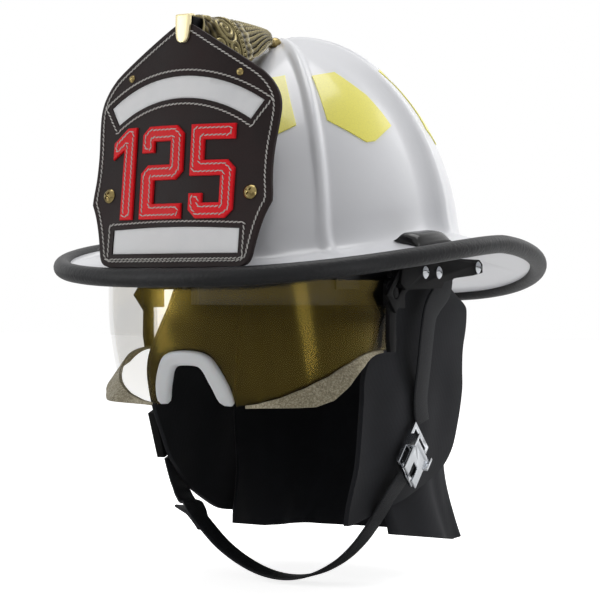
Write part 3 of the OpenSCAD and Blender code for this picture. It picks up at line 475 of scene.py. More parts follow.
def rgba(colour):
    """Opaque linear colour from a hex code or from a colour that is linear already."""
    return (*(linear(colour) if isinstance(colour, str) else colour), 1.0)


def darker(colour, share):
    return [c * share for c in colour]


def add(tree, kind, inputs=None, **settings):
    """Adds a node with its settings, values and links."""
    node = tree.nodes.new(kind)
    for key, value in settings.items():
        setattr(node, key, value)
    for key, value in (inputs or {}).items():
        if isinstance(value, bpy.types.NodeSocket):
            tree.links.new(value, node.inputs[key])
        else:
            node.inputs[key].default_value = value
    return node


def ramp(tree, value, stops):
    """A colour ramp over value: stops are (place, colour)."""
    node = add(tree, "ShaderNodeValToRGB", {"Fac": value})
    bar = node.color_ramp
    while len(bar.elements) < len(stops):
        bar.elements.new(0.5)
    for element, (place, colour) in zip(bar.elements, stops):
        element.position = place
        element.color = rgba(colour)
    return node.outputs["Color"]


def new_finish(name, base, roughness, **plain):
    """A principled material; plain holds the values set on the shader's own sockets."""
    material = bpy.data.materials.new(name)
    material.use_nodes = True
    tree = material.node_tree
    shader = tree.nodes["Principled BSDF"]
    shader.inputs["Base Color"].default_value = rgba(base)
    shader.inputs["Roughness"].default_value = roughness
    for key, value in plain.items():
        shader.inputs[key.replace("_", " ")].default_value = value
    place = tree.nodes.new("ShaderNodeTexCoord").outputs["Object"]
    return material, tree, shader, place


def noise(tree, place, size_mm, detail=3.0, rough=0.55):
    return add(tree, "ShaderNodeTexNoise", {"Vector": place, "Scale": 1 / (size_mm * MM),
                                            "Detail": detail, "Roughness": rough}).outputs["Fac"]


def cells(tree, place, size_mm, feature="F1"):
    return add(tree, "ShaderNodeTexVoronoi", {"Vector": place, "Scale": 1 / (size_mm * MM)},
               feature=feature).outputs["Distance"]


def maths(tree, operation, a, b=0.0, c=0.0):
    return add(tree, "ShaderNodeMath", {0: a, 1: b, 2: c}, operation=operation).outputs[0]


def bump(tree, shader, height, depth_mm, strength):
    node = add(tree, "ShaderNodeBump", {"Height": height, "Distance": depth_mm * MM,
                                        "Strength": strength})
    tree.links.new(node.outputs["Normal"], shader.inputs["Normal"])


def toned(tree, shader, value, stops):
    """Colours the surface by a ramp over value."""
    tree.links.new(ramp(tree, value, stops), shader.inputs["Base Color"])


def rough_by(tree, shader, value, span, rough):
    """Roughness that runs from rough[0] to rough[1] as value runs over the span."""
    level = add(tree, "ShaderNodeMapRange", {"Value": value, "From Min": span[0], "From Max": span[1],
                                             "To Min": rough[0], "To Max": rough[1]})
    tree.links.new(level.outputs["Result"], shader.inputs["Roughness"])


def grained(name, base, roughness, grain_mm, depth_mm, strength, detail=2.0, **plain):
    """A finish of one colour over a fine grain."""
    m, tree, shader, place = new_finish(name, base, roughness, **plain)
    bump(tree, shader, noise(tree, place, grain_mm, detail), depth_mm, strength)
    return m


def gloss_enamel():
    """Baked gloss enamel on a moulded shell: a clean white with a hint of orange peel."""
    return grained("gloss enamel", bpy.context.scene.helmet_colours.shell, 0.3, 7.0, 0.05, 0.35,
                   detail=1.0, Coat_Weight=0.35, Coat_Roughness=0.12)


def extruded_vinyl():
    """Extruded vinyl bead: satin black, with the soft wrinkles of its bending."""
    black = bpy.context.scene.helmet_colours.bead
    m, tree, shader, place = new_finish("extruded vinyl", black, 0.46, Specular_IOR_Level=0.25)
    toned(tree, shader, noise(tree, place, 24.0), [(0.3, darker(black, 0.4)), (0.75, black)])
    bump(tree, shader, noise(tree, place, 2.4), 0.6, 0.8)
    return m


def leather(name, tones, grain_mm, depth_mm, roughness, gloss=0.35):
    """Finished leather: pebbled grain, slightly uneven dye and a low waxed sheen."""
    m, tree, shader, place = new_finish(name, tones[0], roughness, Specular_IOR_Level=gloss)
    uneven = noise(tree, place, 28.0, 4.0)
    toned(tree, shader, uneven, [(0.3, tones[0]), (0.7, tones[1])])
    pebble = cells(tree, place, grain_mm)
    fine = noise(tree, place, grain_mm * 0.45, 4.0)
    bump(tree, shader, maths(tree, "MULTIPLY_ADD", fine, 0.5, pebble), depth_mm, 0.6)
    rough_by(tree, shader, uneven, (0.3, 0.7), (roughness - 0.07, roughness + 0.1))
    return m


def black_leather():
    """Waxed black cowhide with a brown undertone."""
    return leather("waxed black leather", ("#1B1313", "#2A1F1F"), 1.1, 0.12, 0.5, gloss=0.16)


def white_leather():
    """Painted white leather of the name panels, nearly smooth."""
    return leather("painted white leather", ("#F1F2F4", "#FBFBFC"), 0.9, 0.03, 0.4)


def red_leather():
    """Painted red leather of the number."""
    return leather("painted red leather", ("#E80E1B", "#F81E2B"), 1.0, 0.06, 0.45, gloss=0.2)


def waxed_thread():
    """Waxed white thread: pale, with its ply just showing."""
    return grained("waxed thread", "#CBC8C4", 0.6, 0.5, 0.08, 0.5)


def cast_brass():
    """Sand-cast brass, rubbed bright on its high parts and dark in its hollows."""
    m, tree, shader, place = new_finish("cast brass", "#8A7A48", 0.34, Metallic=1.0)
    relief = add(tree, "ShaderNodeAttribute", attribute_name="relief").outputs["Fac"]
    worn = maths(tree, "MULTIPLY_ADD", noise(tree, place, 2.2), 0.35, relief)
    toned(tree, shader, worn, [(0.2, "#100E08"), (0.55, "#3C3523"), (0.92, "#7D7454")])
    rough_by(tree, shader, worn, (0.2, 0.9), (0.55, 0.24))
    bump(tree, shader, noise(tree, place, 0.8), 0.08, 0.5)
    return m


def polished_brass():
    """Machined brass, polished, with faint handling marks."""
    m, tree, shader, place = new_finish("polished brass", "#97865A", 0.22, Metallic=1.0)
    toned(tree, shader, noise(tree, place, 3.0), [(0.3, "#6F5F3C"), (0.7, "#998A5E")])
    bump(tree, shader, noise(tree, place, 0.7, 2.0), 0.02, 0.4)
    return m


def pale_brass():
    """Lacquered brass strip: a smooth, pale and warm metal."""
    return grained("lacquered brass", "#F2E4B4", 0.32, 1.6, 0.03, 0.4, Metallic=0.6)


def prismatic_tape():
    """Prismatic sheeting: fluorescent yellow with the faint mesh of its cells."""
    yellow = bpy.context.scene.helmet_colours.trim
    m, tree, shader, place = new_finish("prismatic sheeting", yellow, 0.3, Coat_Weight=0.4,
                                        Coat_Roughness=0.1)
    mesh = cells(tree, place, 2.4, "DISTANCE_TO_EDGE")
    toned(tree, shader, mesh, [(0.0, darker(yellow, 0.93)), (0.1, yellow)])
    bump(tree, shader, mesh, 0.05, 0.2)
    return m


def moulded_nylon():
    """Moulded black nylon with a fine spark-eroded texture."""
    return grained("moulded nylon", "#0B0B0C", 0.6, 0.6, 0.05, 0.4, Specular_IOR_Level=0.08)


def gloss_nylon():
    """Moulded black nylon from a polished mould, with a sharp shine."""
    return grained("gloss nylon", "#09090B", 0.2, 1.5, 0.02, 0.3, Specular_IOR_Level=0.35)


def band_plastic():
    """Moulded polyethylene: dark grey, waxy."""
    return grained("moulded polyethylene", "#1C1D1F", 0.48, 1.5, 0.05, 0.3, Specular_IOR_Level=0.3)


def bright_steel():
    """Nickel-plated steel, bright, with a slightly wavy surface."""
    return grained("nickel-plated steel", "#C9CCD0", 0.16, 5.0, 0.08, 0.35, Metallic=1.0)


def gold_mirror():
    """Gold-coated polycarbonate: part mirror, part clear, so that dark things behind go bronze."""
    m, tree, shader, place = new_finish("gold-coated polycarbonate",
                                        bpy.context.scene.helmet_colours.lens, 0.09, Metallic=1.0,
                                        Alpha=0.14)
    rough_by(tree, shader, noise(tree, place, 60.0, 1.0), (0, 1), (0.13, 0.2))
    return m


def flecked_elastomer():
    """Moulded elastomer skirt: beige with fine light and dark flecks."""
    m, tree, shader, place = new_finish("flecked elastomer", "#BDB193", 0.55)
    fleck = noise(tree, place, 1.3, 2.0, 0.8)
    toned(tree, shader, fleck, [(0.36, "#7D745E"), (0.5, "#9E957C"), (0.66, "#C2BAA2")])
    bump(tree, shader, fleck, 0.1, 0.3)
    return m


def white_elastomer():
    """Soft white elastomer of the nose guard."""
    return grained("white elastomer", "#D6D8DA", 0.38, 1.2, 0.02, 0.3, Subsurface_Weight=0.1,
                   Subsurface_Scale=0.002)


def twill_cloth():
    """Flame-resistant twill: charcoal, a soft sheen over fine slanted ribs.
    The ribs are drawn 3.63 mm apart, much coarser than the real ones."""
    charcoal = bpy.context.scene.helmet_colours.cloth
    m, tree, shader, place = new_finish("aramid twill", charcoal, 0.85, Specular_IOR_Level=0.12,
                                        Sheen_Weight=0.06)
    uv = tree.nodes.new("ShaderNodeUVMap").outputs["UV"]
    # The wave texture's diagonal bands lie 2 pi / (10 sqrt 2) apart at scale 1
    wave_scale = 2 * math.pi / (10 * math.sqrt(2)) / (3.63 * MM)
    ribs = add(tree, "ShaderNodeTexWave", {"Vector": uv, "Scale": wave_scale, "Distortion": 0.6,
                                           "Detail": 1.0},
               wave_type="BANDS", bands_direction="DIAGONAL").outputs["Fac"]
    fibres = noise(tree, place, 0.9, 4.0)
    uneven = noise(tree, place, 35.0, 3.0)
    tone = maths(tree, "MULTIPLY_ADD", uneven, 0.5, maths(tree, "MULTIPLY", fibres, 0.5))
    toned(tree, shader, tone, [(0.3, darker(charcoal, 0.56)), (0.7, charcoal)])
    bump(tree, shader, maths(tree, "MULTIPLY_ADD", fibres, 0.5, ribs), 0.06, 0.4)
    return m


def nylon_webbing():
    """Nylon webbing: black, in a close basket weave."""
    m, tree, shader, place = new_finish("nylon webbing", "#16171A", 0.6, Specular_IOR_Level=0.2)
    uv = tree.nodes.new("ShaderNodeUVMap").outputs["UV"]
    weave = add(tree, "ShaderNodeTexBrick", {
        "Vector": uv, "Scale": 1 / (4.0 * MM), "Mortar Size": 0.06, "Mortar Smooth": 0.8,
        "Color1": (1, 1, 1, 1), "Color2": (0.8, 0.8, 0.8, 1), "Mortar": (0, 0, 0, 1)})
    tone = maths(tree, "MULTIPLY_ADD", noise(tree, place, 1.0, 2.0), 0.4,
                 maths(tree, "MULTIPLY", weave.outputs["Color"], 0.6))
    toned(tree, shader, tone, [(0.2, "#0E0F10"), (0.8, "#1F2024")])
    bump(tree, shader, weave.outputs["Color"], 0.25, 0.6)
    return m


def liner_foam():
    """Moulded foam liner: dark grey beads pressed together."""
    m, tree, shader, place = new_finish("bead foam", "#333437", 0.85)
    bead = cells(tree, place, 3.2)
    toned(tree, shader, bead, [(0.2, "#3A3B3E"), (0.6, "#242527")])
    bump(tree, shader, bead, 0.5, 0.5)
    return m


def brushed_knit():
    """Brushed knit over the cushions: dark, soft, with small even loops."""
    m, tree, shader, place = new_finish("brushed knit", "#1E1F22", 0.9, Sheen_Weight=0.12)
    loops = cells(tree, place, 1.4)
    toned(tree, shader, loops, [(0.2, "#303237"), (0.7, "#1D1E21")])
    bump(tree, shader, loops, 0.25, 0.6)
    return m


# The finish of each CAD node, also of those that a piece stands for
NODE_FINISH = {
    gloss_enamel: ["shell"],
    extruded_vinyl: ["edge_trim"],
    liner_foam: ["impact_liner"],
    black_leather: ["leather_front"],
    white_leather: ["upper_panel", "lower_panel"],
    polished_brass: ["front_screws", "front_rivets", "crest_knob"],
    cast_brass: ["crest"],
    pale_brass: ["crest_tongue"],
    prismatic_tape: ["reflective_trim"],
    moulded_nylon: ["tip_pad", "side_cover_left", "side_cover_right", "bracket_left", "bracket_right",
                    "track_left", "track_right", "visor_arm_left", "visor_arm_right",
                    "ratchet_housing", "ratchet_knob", "cover_band", "strap_clip_right"],
    bright_steel: ["bracket_screws", "buckle_frame", "buckle_lever"],
    gold_mirror: ["visor_lens"],
    flecked_elastomer: ["visor_skirt"],
    white_elastomer: ["nose_guard"],
    band_plastic: ["headband", "band_tail_left", "band_tail_right", "band_hangers"],
    twill_cloth: ["neck_cape", "ear_flap_left", "ear_flap_right"],
    nylon_webbing: ["crown_straps", "strap_left", "strap_right", "chin_strap"],
    brushed_knit: ["brow_pad", "crown_pad", "nape_pad"],
}


# ---------- geometry node trees ----------

def new_tree(name, sockets):
    """A modifier tree with a geometry input and output and named inputs."""
    tree = bpy.data.node_groups.new(name, "GeometryNodeTree")
    tree.is_modifier = True
    tree.interface.new_socket("Geometry", in_out="INPUT", socket_type="NodeSocketGeometry")
    for label, kind in sockets:
        tree.interface.new_socket(label, in_out="INPUT", socket_type=kind)
    tree.interface.new_socket("Geometry", in_out="OUTPUT", socket_type="NodeSocketGeometry")
    return tree, tree.nodes.new("NodeGroupInput").outputs


def grow(piece, tree, values):
    """Runs a tree on a piece and turns the result into plain mesh."""
    modifier = piece.modifiers.new(tree.name, "NODES")
    modifier.node_group = tree
    for item in tree.interface.items_tree:
        if item.in_out == "INPUT" and item.name in values:
            modifier[item.identifier] = values[item.name]
    applied(piece)


def finish_tree(tree, geometry, material):
    done = add(tree, "GeometryNodeRealizeInstances", {"Geometry": geometry})
    smooth = add(tree, "GeometryNodeSetShadeSmooth", {0: done.outputs[0]})
    set_material = add(tree, "GeometryNodeSetMaterial", {"Geometry": smooth.outputs[0],
                                                         "Material": material})
    add(tree, "NodeGroupOutput", {0: set_material.outputs[0]})


def bead_tree():
    """A round bead along the loop of edges that the piece holds."""
    tree, given = new_tree("Edge bead", [("Radius", "NodeSocketFloat"), ("Round", "NodeSocketInt"),
                                         ("Material", "NodeSocketMaterial")])
    path = add(tree, "GeometryNodeMeshToCurve", {"Mesh": given["Geometry"]})
    ring = add(tree, "GeometryNodeCurvePrimitiveCircle", {"Resolution": given["Round"],
                                                          "Radius": given["Radius"]})
    bead = add(tree, "GeometryNodeCurveToMesh", {"Curve": path.outputs[0],
                                                 "Profile Curve": ring.outputs[0]})
    finish_tree(tree, bead.outputs[0], given["Material"])
    return tree


def stitch_tree():
    """Slanted thread stitches at an even pitch along the piece's edges, square to its 'lay'."""
    tree, given = new_tree("Zigzag stitches", [
        ("Pitch", "NodeSocketFloat"), ("Length", "NodeSocketFloat"), ("Thread", "NodeSocketFloat"),
        ("Slant", "NodeSocketFloat"), ("Material", "NodeSocketMaterial")])
    path = add(tree, "GeometryNodeMeshToCurve", {"Mesh": given["Geometry"]})
    spaced = add(tree, "GeometryNodeResampleCurve",
                 {"Curve": path.outputs[0], "Length": given["Pitch"]}, mode="LENGTH")
    lay = add(tree, "GeometryNodeInputNamedAttribute", {"Name": "lay"}, data_type="FLOAT_VECTOR")
    along = tree.nodes.new("GeometryNodeInputTangent")
    turn = add(tree, "FunctionNodeAxesToRotation", {"Primary Axis": lay.outputs[0],
                                                    "Secondary Axis": along.outputs[0]},
               primary_axis="Z", secondary_axis="X")
    slant = add(tree, "FunctionNodeAxisAngleToRotation", {"Axis": (0, 0, 1), "Angle": given["Slant"]})
    placed = add(tree, "FunctionNodeRotateRotation", {0: turn.outputs[0], 1: slant.outputs[0]},
                 rotation_space="LOCAL")
    dash = add(tree, "GeometryNodeMeshUVSphere", {"Segments": 8, "Rings": 5, "Radius": 1.0})
    size = add(tree, "ShaderNodeCombineXYZ", {"X": given["Length"], "Y": given["Thread"],
                                              "Z": given["Thread"]})
    stitches = add(tree, "GeometryNodeInstanceOnPoints", {
        "Points": spaced.outputs[0], "Instance": dash.outputs[0], "Rotation": placed.outputs[0],
        "Scale": size.outputs[0]})
    finish_tree(tree, stitches.outputs[0], given["Material"])
    return tree


def fastener_tree():
    """One fastener head on each point of the piece, square to its 'lay' direction."""
    tree, given = new_tree("Fastener heads", [
        ("Head", "NodeSocketObject"), ("Turn", "NodeSocketFloat"), ("Material", "NodeSocketMaterial")])
    points = add(tree, "GeometryNodeMeshToPoints", {"Mesh": given["Geometry"]})
    lay = add(tree, "GeometryNodeInputNamedAttribute", {"Name": "lay"}, data_type="FLOAT_VECTOR")
    turn = add(tree, "FunctionNodeAxesToRotation", {"Primary Axis": lay.outputs[0],
                                                    "Secondary Axis": (0, 0, 1)},
               primary_axis="Z", secondary_axis="X")
    spin = add(tree, "FunctionNodeAxisAngleToRotation", {"Axis": (0, 0, 1), "Angle": given["Turn"]})
    placed = add(tree, "FunctionNodeRotateRotation", {0: turn.outputs[0], 1: spin.outputs[0]},
                 rotation_space="LOCAL")
    head = add(tree, "GeometryNodeObjectInfo", {"Object": given["Head"]})
    heads = add(tree, "GeometryNodeInstanceOnPoints", {
        "Points": points.outputs[0], "Instance": head.outputs["Geometry"],
        "Rotation": placed.outputs[0]})
    finish_tree(tree, heads.outputs[0], given["Material"])
    return tree


def guide(name, points_mm, lay=None, loops=()):
    """A mesh of points, with the direction that faces out of the surface, and of edges round the
    loops, each given by its first point and its number of points."""
    mesh = bpy.data.meshes.new(name)
    edges = [(first + i, first + (i + 1) % count) for first, count in loops for i in range(count)]
    mesh.from_pydata((np.asarray(points_mm, float) * MM).tolist(), edges, [])
    if lay is not None:
        layer = mesh.attributes.new("lay", "FLOAT_VECTOR", "POINT")
        layer.data.foreach_set("vector", np.asarray(lay, np.float32).ravel())
    return new_object(name, mesh)


def stitched(name, runs, pitch, length, thread):
    """White stitches along closed runs of (points, outward directions), all in millimetres."""
    counts = [len(run) for run, _ in runs]
    firsts = [sum(counts[:i]) for i in range(len(counts))]
    piece = guide(name, np.vstack([run for run, _ in runs]), np.vstack([lay for _, lay in runs]),
                  list(zip(firsts, counts)))
    grow(piece, once(stitch_tree), {"Pitch": pitch * MM, "Length": length / 2 * MM,
                                    "Thread": thread * MM, "Slant": math.radians(STITCH_SLANT),
                                    "Material": once(waxed_thread)})
    return give(piece, waxed_thread)


def leather_run(outline, out):
    """A stitch run on the leather front along a closed flat outline, evenly dense."""
    ring = np.vstack([outline, outline[:1]])
    place = run_length(ring)
    count = max(8, int(place[-1] / 1.5))
    at = np.linspace(0, place[-1], count, endpoint=False)
    flat = np.stack([np.interp(at, place, ring[:, 0]), np.interp(at, place, ring[:, 1]),
                     np.full(count, out)], 1)
    return on_leather(flat), leather_normal(flat)


# ---------- sizes and colours that a user may change ----------

def size(name, description, default, low, high, **more):
    return bpy.props.FloatProperty(name=name, description=description, default=default, min=low,
                                   max=high, **more)


def colour(name, description, code):
    return bpy.props.FloatVectorProperty(name=name, description=description, subtype="COLOR",
                                         default=linear(code), min=0, max=1)


class HelmetSizes(bpy.types.PropertyGroup):
    columns: bpy.props.IntProperty(name="Shell columns", default=480, min=96, max=960,
                                   description="Columns of faces round the shell")
    bead_radius: size("Bead radius", "Radius of the bead round the brim", 6 * MM, 0.004, 0.008,
                      unit="LENGTH")
    stitch_pitch: size("Stitch pitch", "Distance between stitches (mm)", 3.0, 1.5, 5)
    thread: size("Thread radius", "Radius of the waxed thread (mm)", 0.46, 0.2, 0.8)
    number: bpy.props.StringProperty(name="Number", default="125",
                                     description="Digits on the leather front, out of 1, 2 and 5")
    number_t: size("Number thickness", "Thickness of the digits (mm)", 1.9, 0.8, 3)
    fold: size("Cloth folds", "Depth of the ear cover's folds (mm)", 1.2, 0, 3)


class HelmetColours(bpy.types.PropertyGroup):
    shell: colour("Shell", "Enamel of the shell", "#E6E7EB")
    bead: colour("Bead", "Vinyl of the edge bead", "#17181B")
    trim: colour("Trim", "Reflective pieces", "#FBF265")
    lens: colour("Lens", "Metal coat of the lens", "#7F6D30")
    cloth: colour("Cloth", "Cloth of the ear cover", "#1F2024")


# ---------- pieces ----------

class HELMET_OT_solids(bpy.types.Operator):
    """Gives every solid of the frame its finish"""
    bl_idname = "helmet.solids"
    bl_label = "Finish the solids"

    def execute(self, context):
        for finish, nodes in NODE_FINISH.items():
            for node in nodes:
                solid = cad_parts[node]
                if not solid.material_slots:
                    solid.data.materials.append(None)
                for slot in solid.material_slots:
                    slot.material = once(finish)
        return {"FINISHED"}


class HELMET_OT_shell(bpy.types.Operator):
    """Builds the shell and the bead round its brim"""
    bl_idname = "helmet.shell"
    bl_label = "Shell and bead"

    def execute(self, context):
        sizes = context.scene.helmet_sizes
        t = np.arange(sizes.columns) * 360 / sizes.columns

        def face(inset, up, shares, angles):
            """Rings from the rim inwards: shares of the brim, the fillet, then upright angles."""
            rows = [brim_pt(t, 1 - RIM_SHORT / brim_len(t), inset, up)]
            rows += [brim_pt(t, q, inset, up) for q in shares]
            rows += [fillet_pt(t, s, inset, up) for s in np.linspace(0, 0.9, 9)]
            rows += [crown_pt(t, e, inset) for e in angles]
            return rows

        inner = face(SHELL_T, -SHELL_T / 2, (0.8, 0.6, 0.4), np.arange(9, 86, 6))
        outer = face(0, SHELL_T / 2, (0.9, 0.78, 0.66, 0.54, 0.42, 0.32), np.arange(9, 89, 2))
        poles = [[0, POLE_Y, float(dome(0, POLE_Y, inset)) + POLE_RISE * RIDGE_H]
                 for inset in (SHELL_T, 0)]
        shell = make_mesh("helmet_shell", *skin(inner[::-1] + outer, poles=poles), sharp=60)
        give(shell, gloss_enamel, ["shell"])

        path = brim_edge(np.arange(0, 360, 1.0))
        bead = guide("brim_bead", path, loops=[(0, len(path))])
        grow(bead, once(bead_tree), {"Radius": sizes.bead_radius, "Round": 24,
                                     "Material": once(extruded_vinyl)})
        give(bead, extruded_vinyl, ["edge_trim"])
        return {"FINISHED"}


PANEL_ARCH = (104.6, 90.2, 33.3)      # outer and inner radius, half angle
PANEL_BAR = (47.0, 10.8, 26.4)        # half width, lower and upper edge
WINDOW_DEPTH = 1.3


class HELMET_OT_leather(bpy.types.Operator):
    """Builds the leather front with its two sunk name panels"""
    bl_idname = "helmet.leather"
    bl_label = "Leather front"

    def execute(self, context):
        rings = []
        for index, (h, half) in enumerate(leather_rows()):
            edge = min(1.1, half * 0.5)
            across = np.linspace(-(half - edge), half - edge, 61)
            round_x = half - 0.32 * edge
            rim = [(round_x, -0.3), (half, -LEATHER_T / 2), (round_x, 0.3 - LEATHER_T)]
            pinch = 0.55 if index == 0 else 0.0
            front = [(x, h, -pinch) for x in across]
            back = [(x, h, pinch - LEATHER_T) for x in across[::-1]]
            right = [(x, h, z) for x, z in rim]
            left = [(-x, h, z) for x, z in rim[::-1]]
            rings.append(on_leather(front + right + back + left))
        piece = make_mesh("leather_shield", *skin(rings), sharp=50)
        work = bmesh.new()
        work.from_mesh(piece.data)
        holes = [e for e in work.edges if e.is_boundary]
        bmesh.ops.holes_fill(work, edges=holes)
        bmesh.ops.triangulate(work, faces=[f for f in work.faces if len(f.verts) > 4])
        work.to_mesh(piece.data)
        work.free()
        windows = [arch_outline(*PANEL_ARCH), bar_outline(*PANEL_BAR)]
        for outline in windows:
            cut(piece, plate(outline, [(0, -WINDOW_DEPTH), (0, 4)]))
        tidy_mesh(piece.data, 40)
        give(piece, black_leather, ["leather_front"])

        floor = -WINDOW_DEPTH
        levels = [(-0.25, floor), (-0.25, floor + 0.5), (-0.5, floor + 0.65)]
        for place, outline in zip(("upper", "lower"), windows):
            panel = mesh_piece(place + "_name_panel", plate(outline, levels))
            give(panel, white_leather, [place + "_panel"])
        return {"FINISHED"}


class HELMET_OT_number(bpy.types.Operator):
    """Builds the plain number on the leather front"""
    bl_idname = "helmet.number"
    bl_label = "Number"

    def execute(self, context):
        sizes = context.scene.helmet_sizes
        outlines = [np.array(DIGITS[c], float) for c in sizes.number]
        widths = [o[:, 0].max() for o in outlines]
        gap, centre, foot = 6.0, -4.5, 32.8
        at = centre - (sum(widths) + gap * (len(widths) - 1)) / 2
        placed = []
        for outline, width in zip(outlines, widths):
            placed.append(outline + [at, foot])
            at += width + gap
        t = sizes.number_t
        levels = [(0.35, 0.02), (0.35, t * 0.5), (0.1, t * 0.85), (-0.5, t)]
        for index, outline in enumerate(placed):
            digit = mesh_piece("number_digit_%d" % (index + 1), plate(outline, levels, grid=4.0), 32)
            give(digit, red_leather)
        context.scene["number_outlines"] = json.dumps([o.tolist() for o in placed])
        return {"FINISHED"}


def border_outline(distance):
    """The leather front's outline, moved inwards, without the points that cross over."""
    rows = leather_rows()
    right = [(w, h) for h, w in rows]
    left = [(-w, h) for h, w in rows[::-1]]
    outline = np.array(right + left)
    inner = grown(outline, -distance)
    near = np.linalg.norm(inner[:, None, :] - outline[None], axis=2).min(1)
    return inner[near > distance * 0.97]


class HELMET_OT_stitching(bpy.types.Operator):
    """Sews the borders, the panels and the number with white zigzag stitches"""
    bl_idname = "helmet.stitching"
    bl_label = "Stitching"

    def execute(self, context):
        sizes = context.scene.helmet_sizes
        pitch, thread = sizes.stitch_pitch, sizes.thread
        outlines = (border_outline(4.0), arch_outline(*PANEL_ARCH, grow=3.4),
                    bar_outline(*PANEL_BAR, grow=3.2))
        white = [leather_run(o, 0.2) for o in outlines]
        stitched("border_stitches", white, pitch, pitch * 1.22, thread)
        red = [leather_run(grown(np.array(o), -2.2), sizes.number_t + 0.14)
               for o in json.loads(context.scene["number_outlines"])]
        stitched("number_stitches", red, pitch, pitch * 1.2, thread * 0.9)
        return {"FINISHED"}


def turned_head(name, profile, slot=None):
    """A head turned from its profile (radius, height), with a cross slot if its half length, half
    width and floor are given."""
    a = np.arange(0, 360, 9.0)
    rings = [np.stack([r * cosd(a), r * sind(a), 0 * a + z], 1) for r, z in profile[:-1]]
    low, high = profile[0][1], profile[-1][1]
    head = make_mesh(name, *skin(rings, poles=[[0, 0, low], [0, 0, high]]), sharp=30)
    if slot:
        long, wide, floor = slot
        for angle in (0, 90):
            corner = np.array([(-long, -wide), (long, -wide), (long, wide), (-long, wide)])
            c, s = cosd(angle + 45), sind(angle + 45)
            corner = np.stack([corner[:, 0] * c - corner[:, 1] * s,
                               corner[:, 0] * s + corner[:, 1] * c], 1)
            cut(head, plate(corner, [(0, floor), (0, high + 2)], grid=50, place=lambda p: p))
        tidy_mesh(head.data, 30)
    return head


def domed(radius, height, collar=0.5):
    """Profile of a domed head: a short collar, then an arc to the top."""
    sphere = (radius ** 2 + (height - collar) ** 2) / (2 * (height - collar))
    r = radius * np.cos(np.linspace(0, math.pi / 2, 8))
    z = collar + np.sqrt(np.maximum(sphere ** 2 - r ** 2, 0)) - (sphere - (height - collar))
    return [(radius * 0.96, 0.0), (radius, 0.15)] + list(zip(r, z))


def headed(name, points_mm, lays, head, turn, finish, nodes=()):
    """A piece with one fastener head on each point, turned by some degrees."""
    piece = guide(name, points_mm, lays)
    grow(piece, once(fastener_tree), {"Head": head, "Turn": math.radians(turn),
                                      "Material": once(finish)})
    piece.data.set_sharp_from_angle(angle=math.radians(30))
    bpy.data.objects.remove(head)
    give(piece, finish, nodes)


class HELMET_OT_fasteners(bpy.types.Operator):
    """Places the brass screws and rivets of the leather front and the steel screws under the brim"""
    bl_idname = "helmet.fasteners"
    bl_label = "Screws and rivets"

    def execute(self, context):
        # Screws and rivets of the leather front: x, height and distance out of its face
        for kind, x, h, out, turn, profile, slot in (
                ("screw", 52.7, 48.3, 0.1, 12, domed(4.6, 2.7), (2.5, 0.5, 1.5)),
                ("rivet", 40.5, 123.2, 0.05, 0, domed(2.5, 1.7, 0.3), None)):
            flat = np.array([(-x, h, out), (x, h, out)])
            head = turned_head(kind + "_head", profile, slot)
            headed("front_%s_heads" % kind, on_leather(flat), leather_normal(flat), head, turn,
                   polished_brass, ["front_%ss" % kind])
        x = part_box("bracket_left")[1].x / MM - 0.55
        places = ((-12.6, -18.5), (7.3, -18.5), (68.5, -14.5))
        points = [(side * x, y, z) for side in (1, -1) for y, z in places]
        lays = [(side, 0, 0) for side in (1, -1) for _ in places]
        head = turned_head("bracket_screw_head", domed(4.2, 2.4, 0.7), (2.1, 0.45, 1.3))
        headed("bracket_screw_heads", points, lays, head, 20, bright_steel)
        dressed("bracket_screw_shanks", "bracket_screws", 0.1, bright_steel)
        return {"FINISHED"}


# Along y: the crest's top, its half width and its lower edge
CREST_TOP = [[-131, 143.3], [-108, 144.8], [-84, 144.7], [-62, 144.2], [-48, 143.4]]
CREST_W = [[-145, 7.5], [-138, 9.6], [-131, 13.4], [-124, 17.6], [-116, 20.2], [-107, 20.5],
           [-84, 15], [-67, 10.5], [-56, 6.6], [-48, 4.6]]
CREST_LOW = [[-131, 119], [-107, 116.5], [-84, 121], [-67, 127.4], [-56, 131.6], [-48, 134.2]]
CREST_Y = (-131.0, -48.0)
CREST_REACH = 14.0        # how much further forward its side edges run
CREST_WALL = 2.2
RELIEF_DEPTH = 2.0
BAND_Y = -107.0
# Each scroll's y, its place round the section from 0 at the top to 1, its turning and its size
SCROLLS = ((-119.0, 0.46, 1.0, 7.5), (-116.5, 0.86, -1.0, 4.5), (-126.5, 0.8, 1.0, 4.5),
           (-126.5, 0.16, -1.0, 4.0))
# Height on the leather front of the tongue's rows and its half width there
TONGUE = [[143.2, 1.4], [143.9, 2.9], [145.6, 4.0], [149, 4.8], [155, 5.3], [160.4, 5.5]]


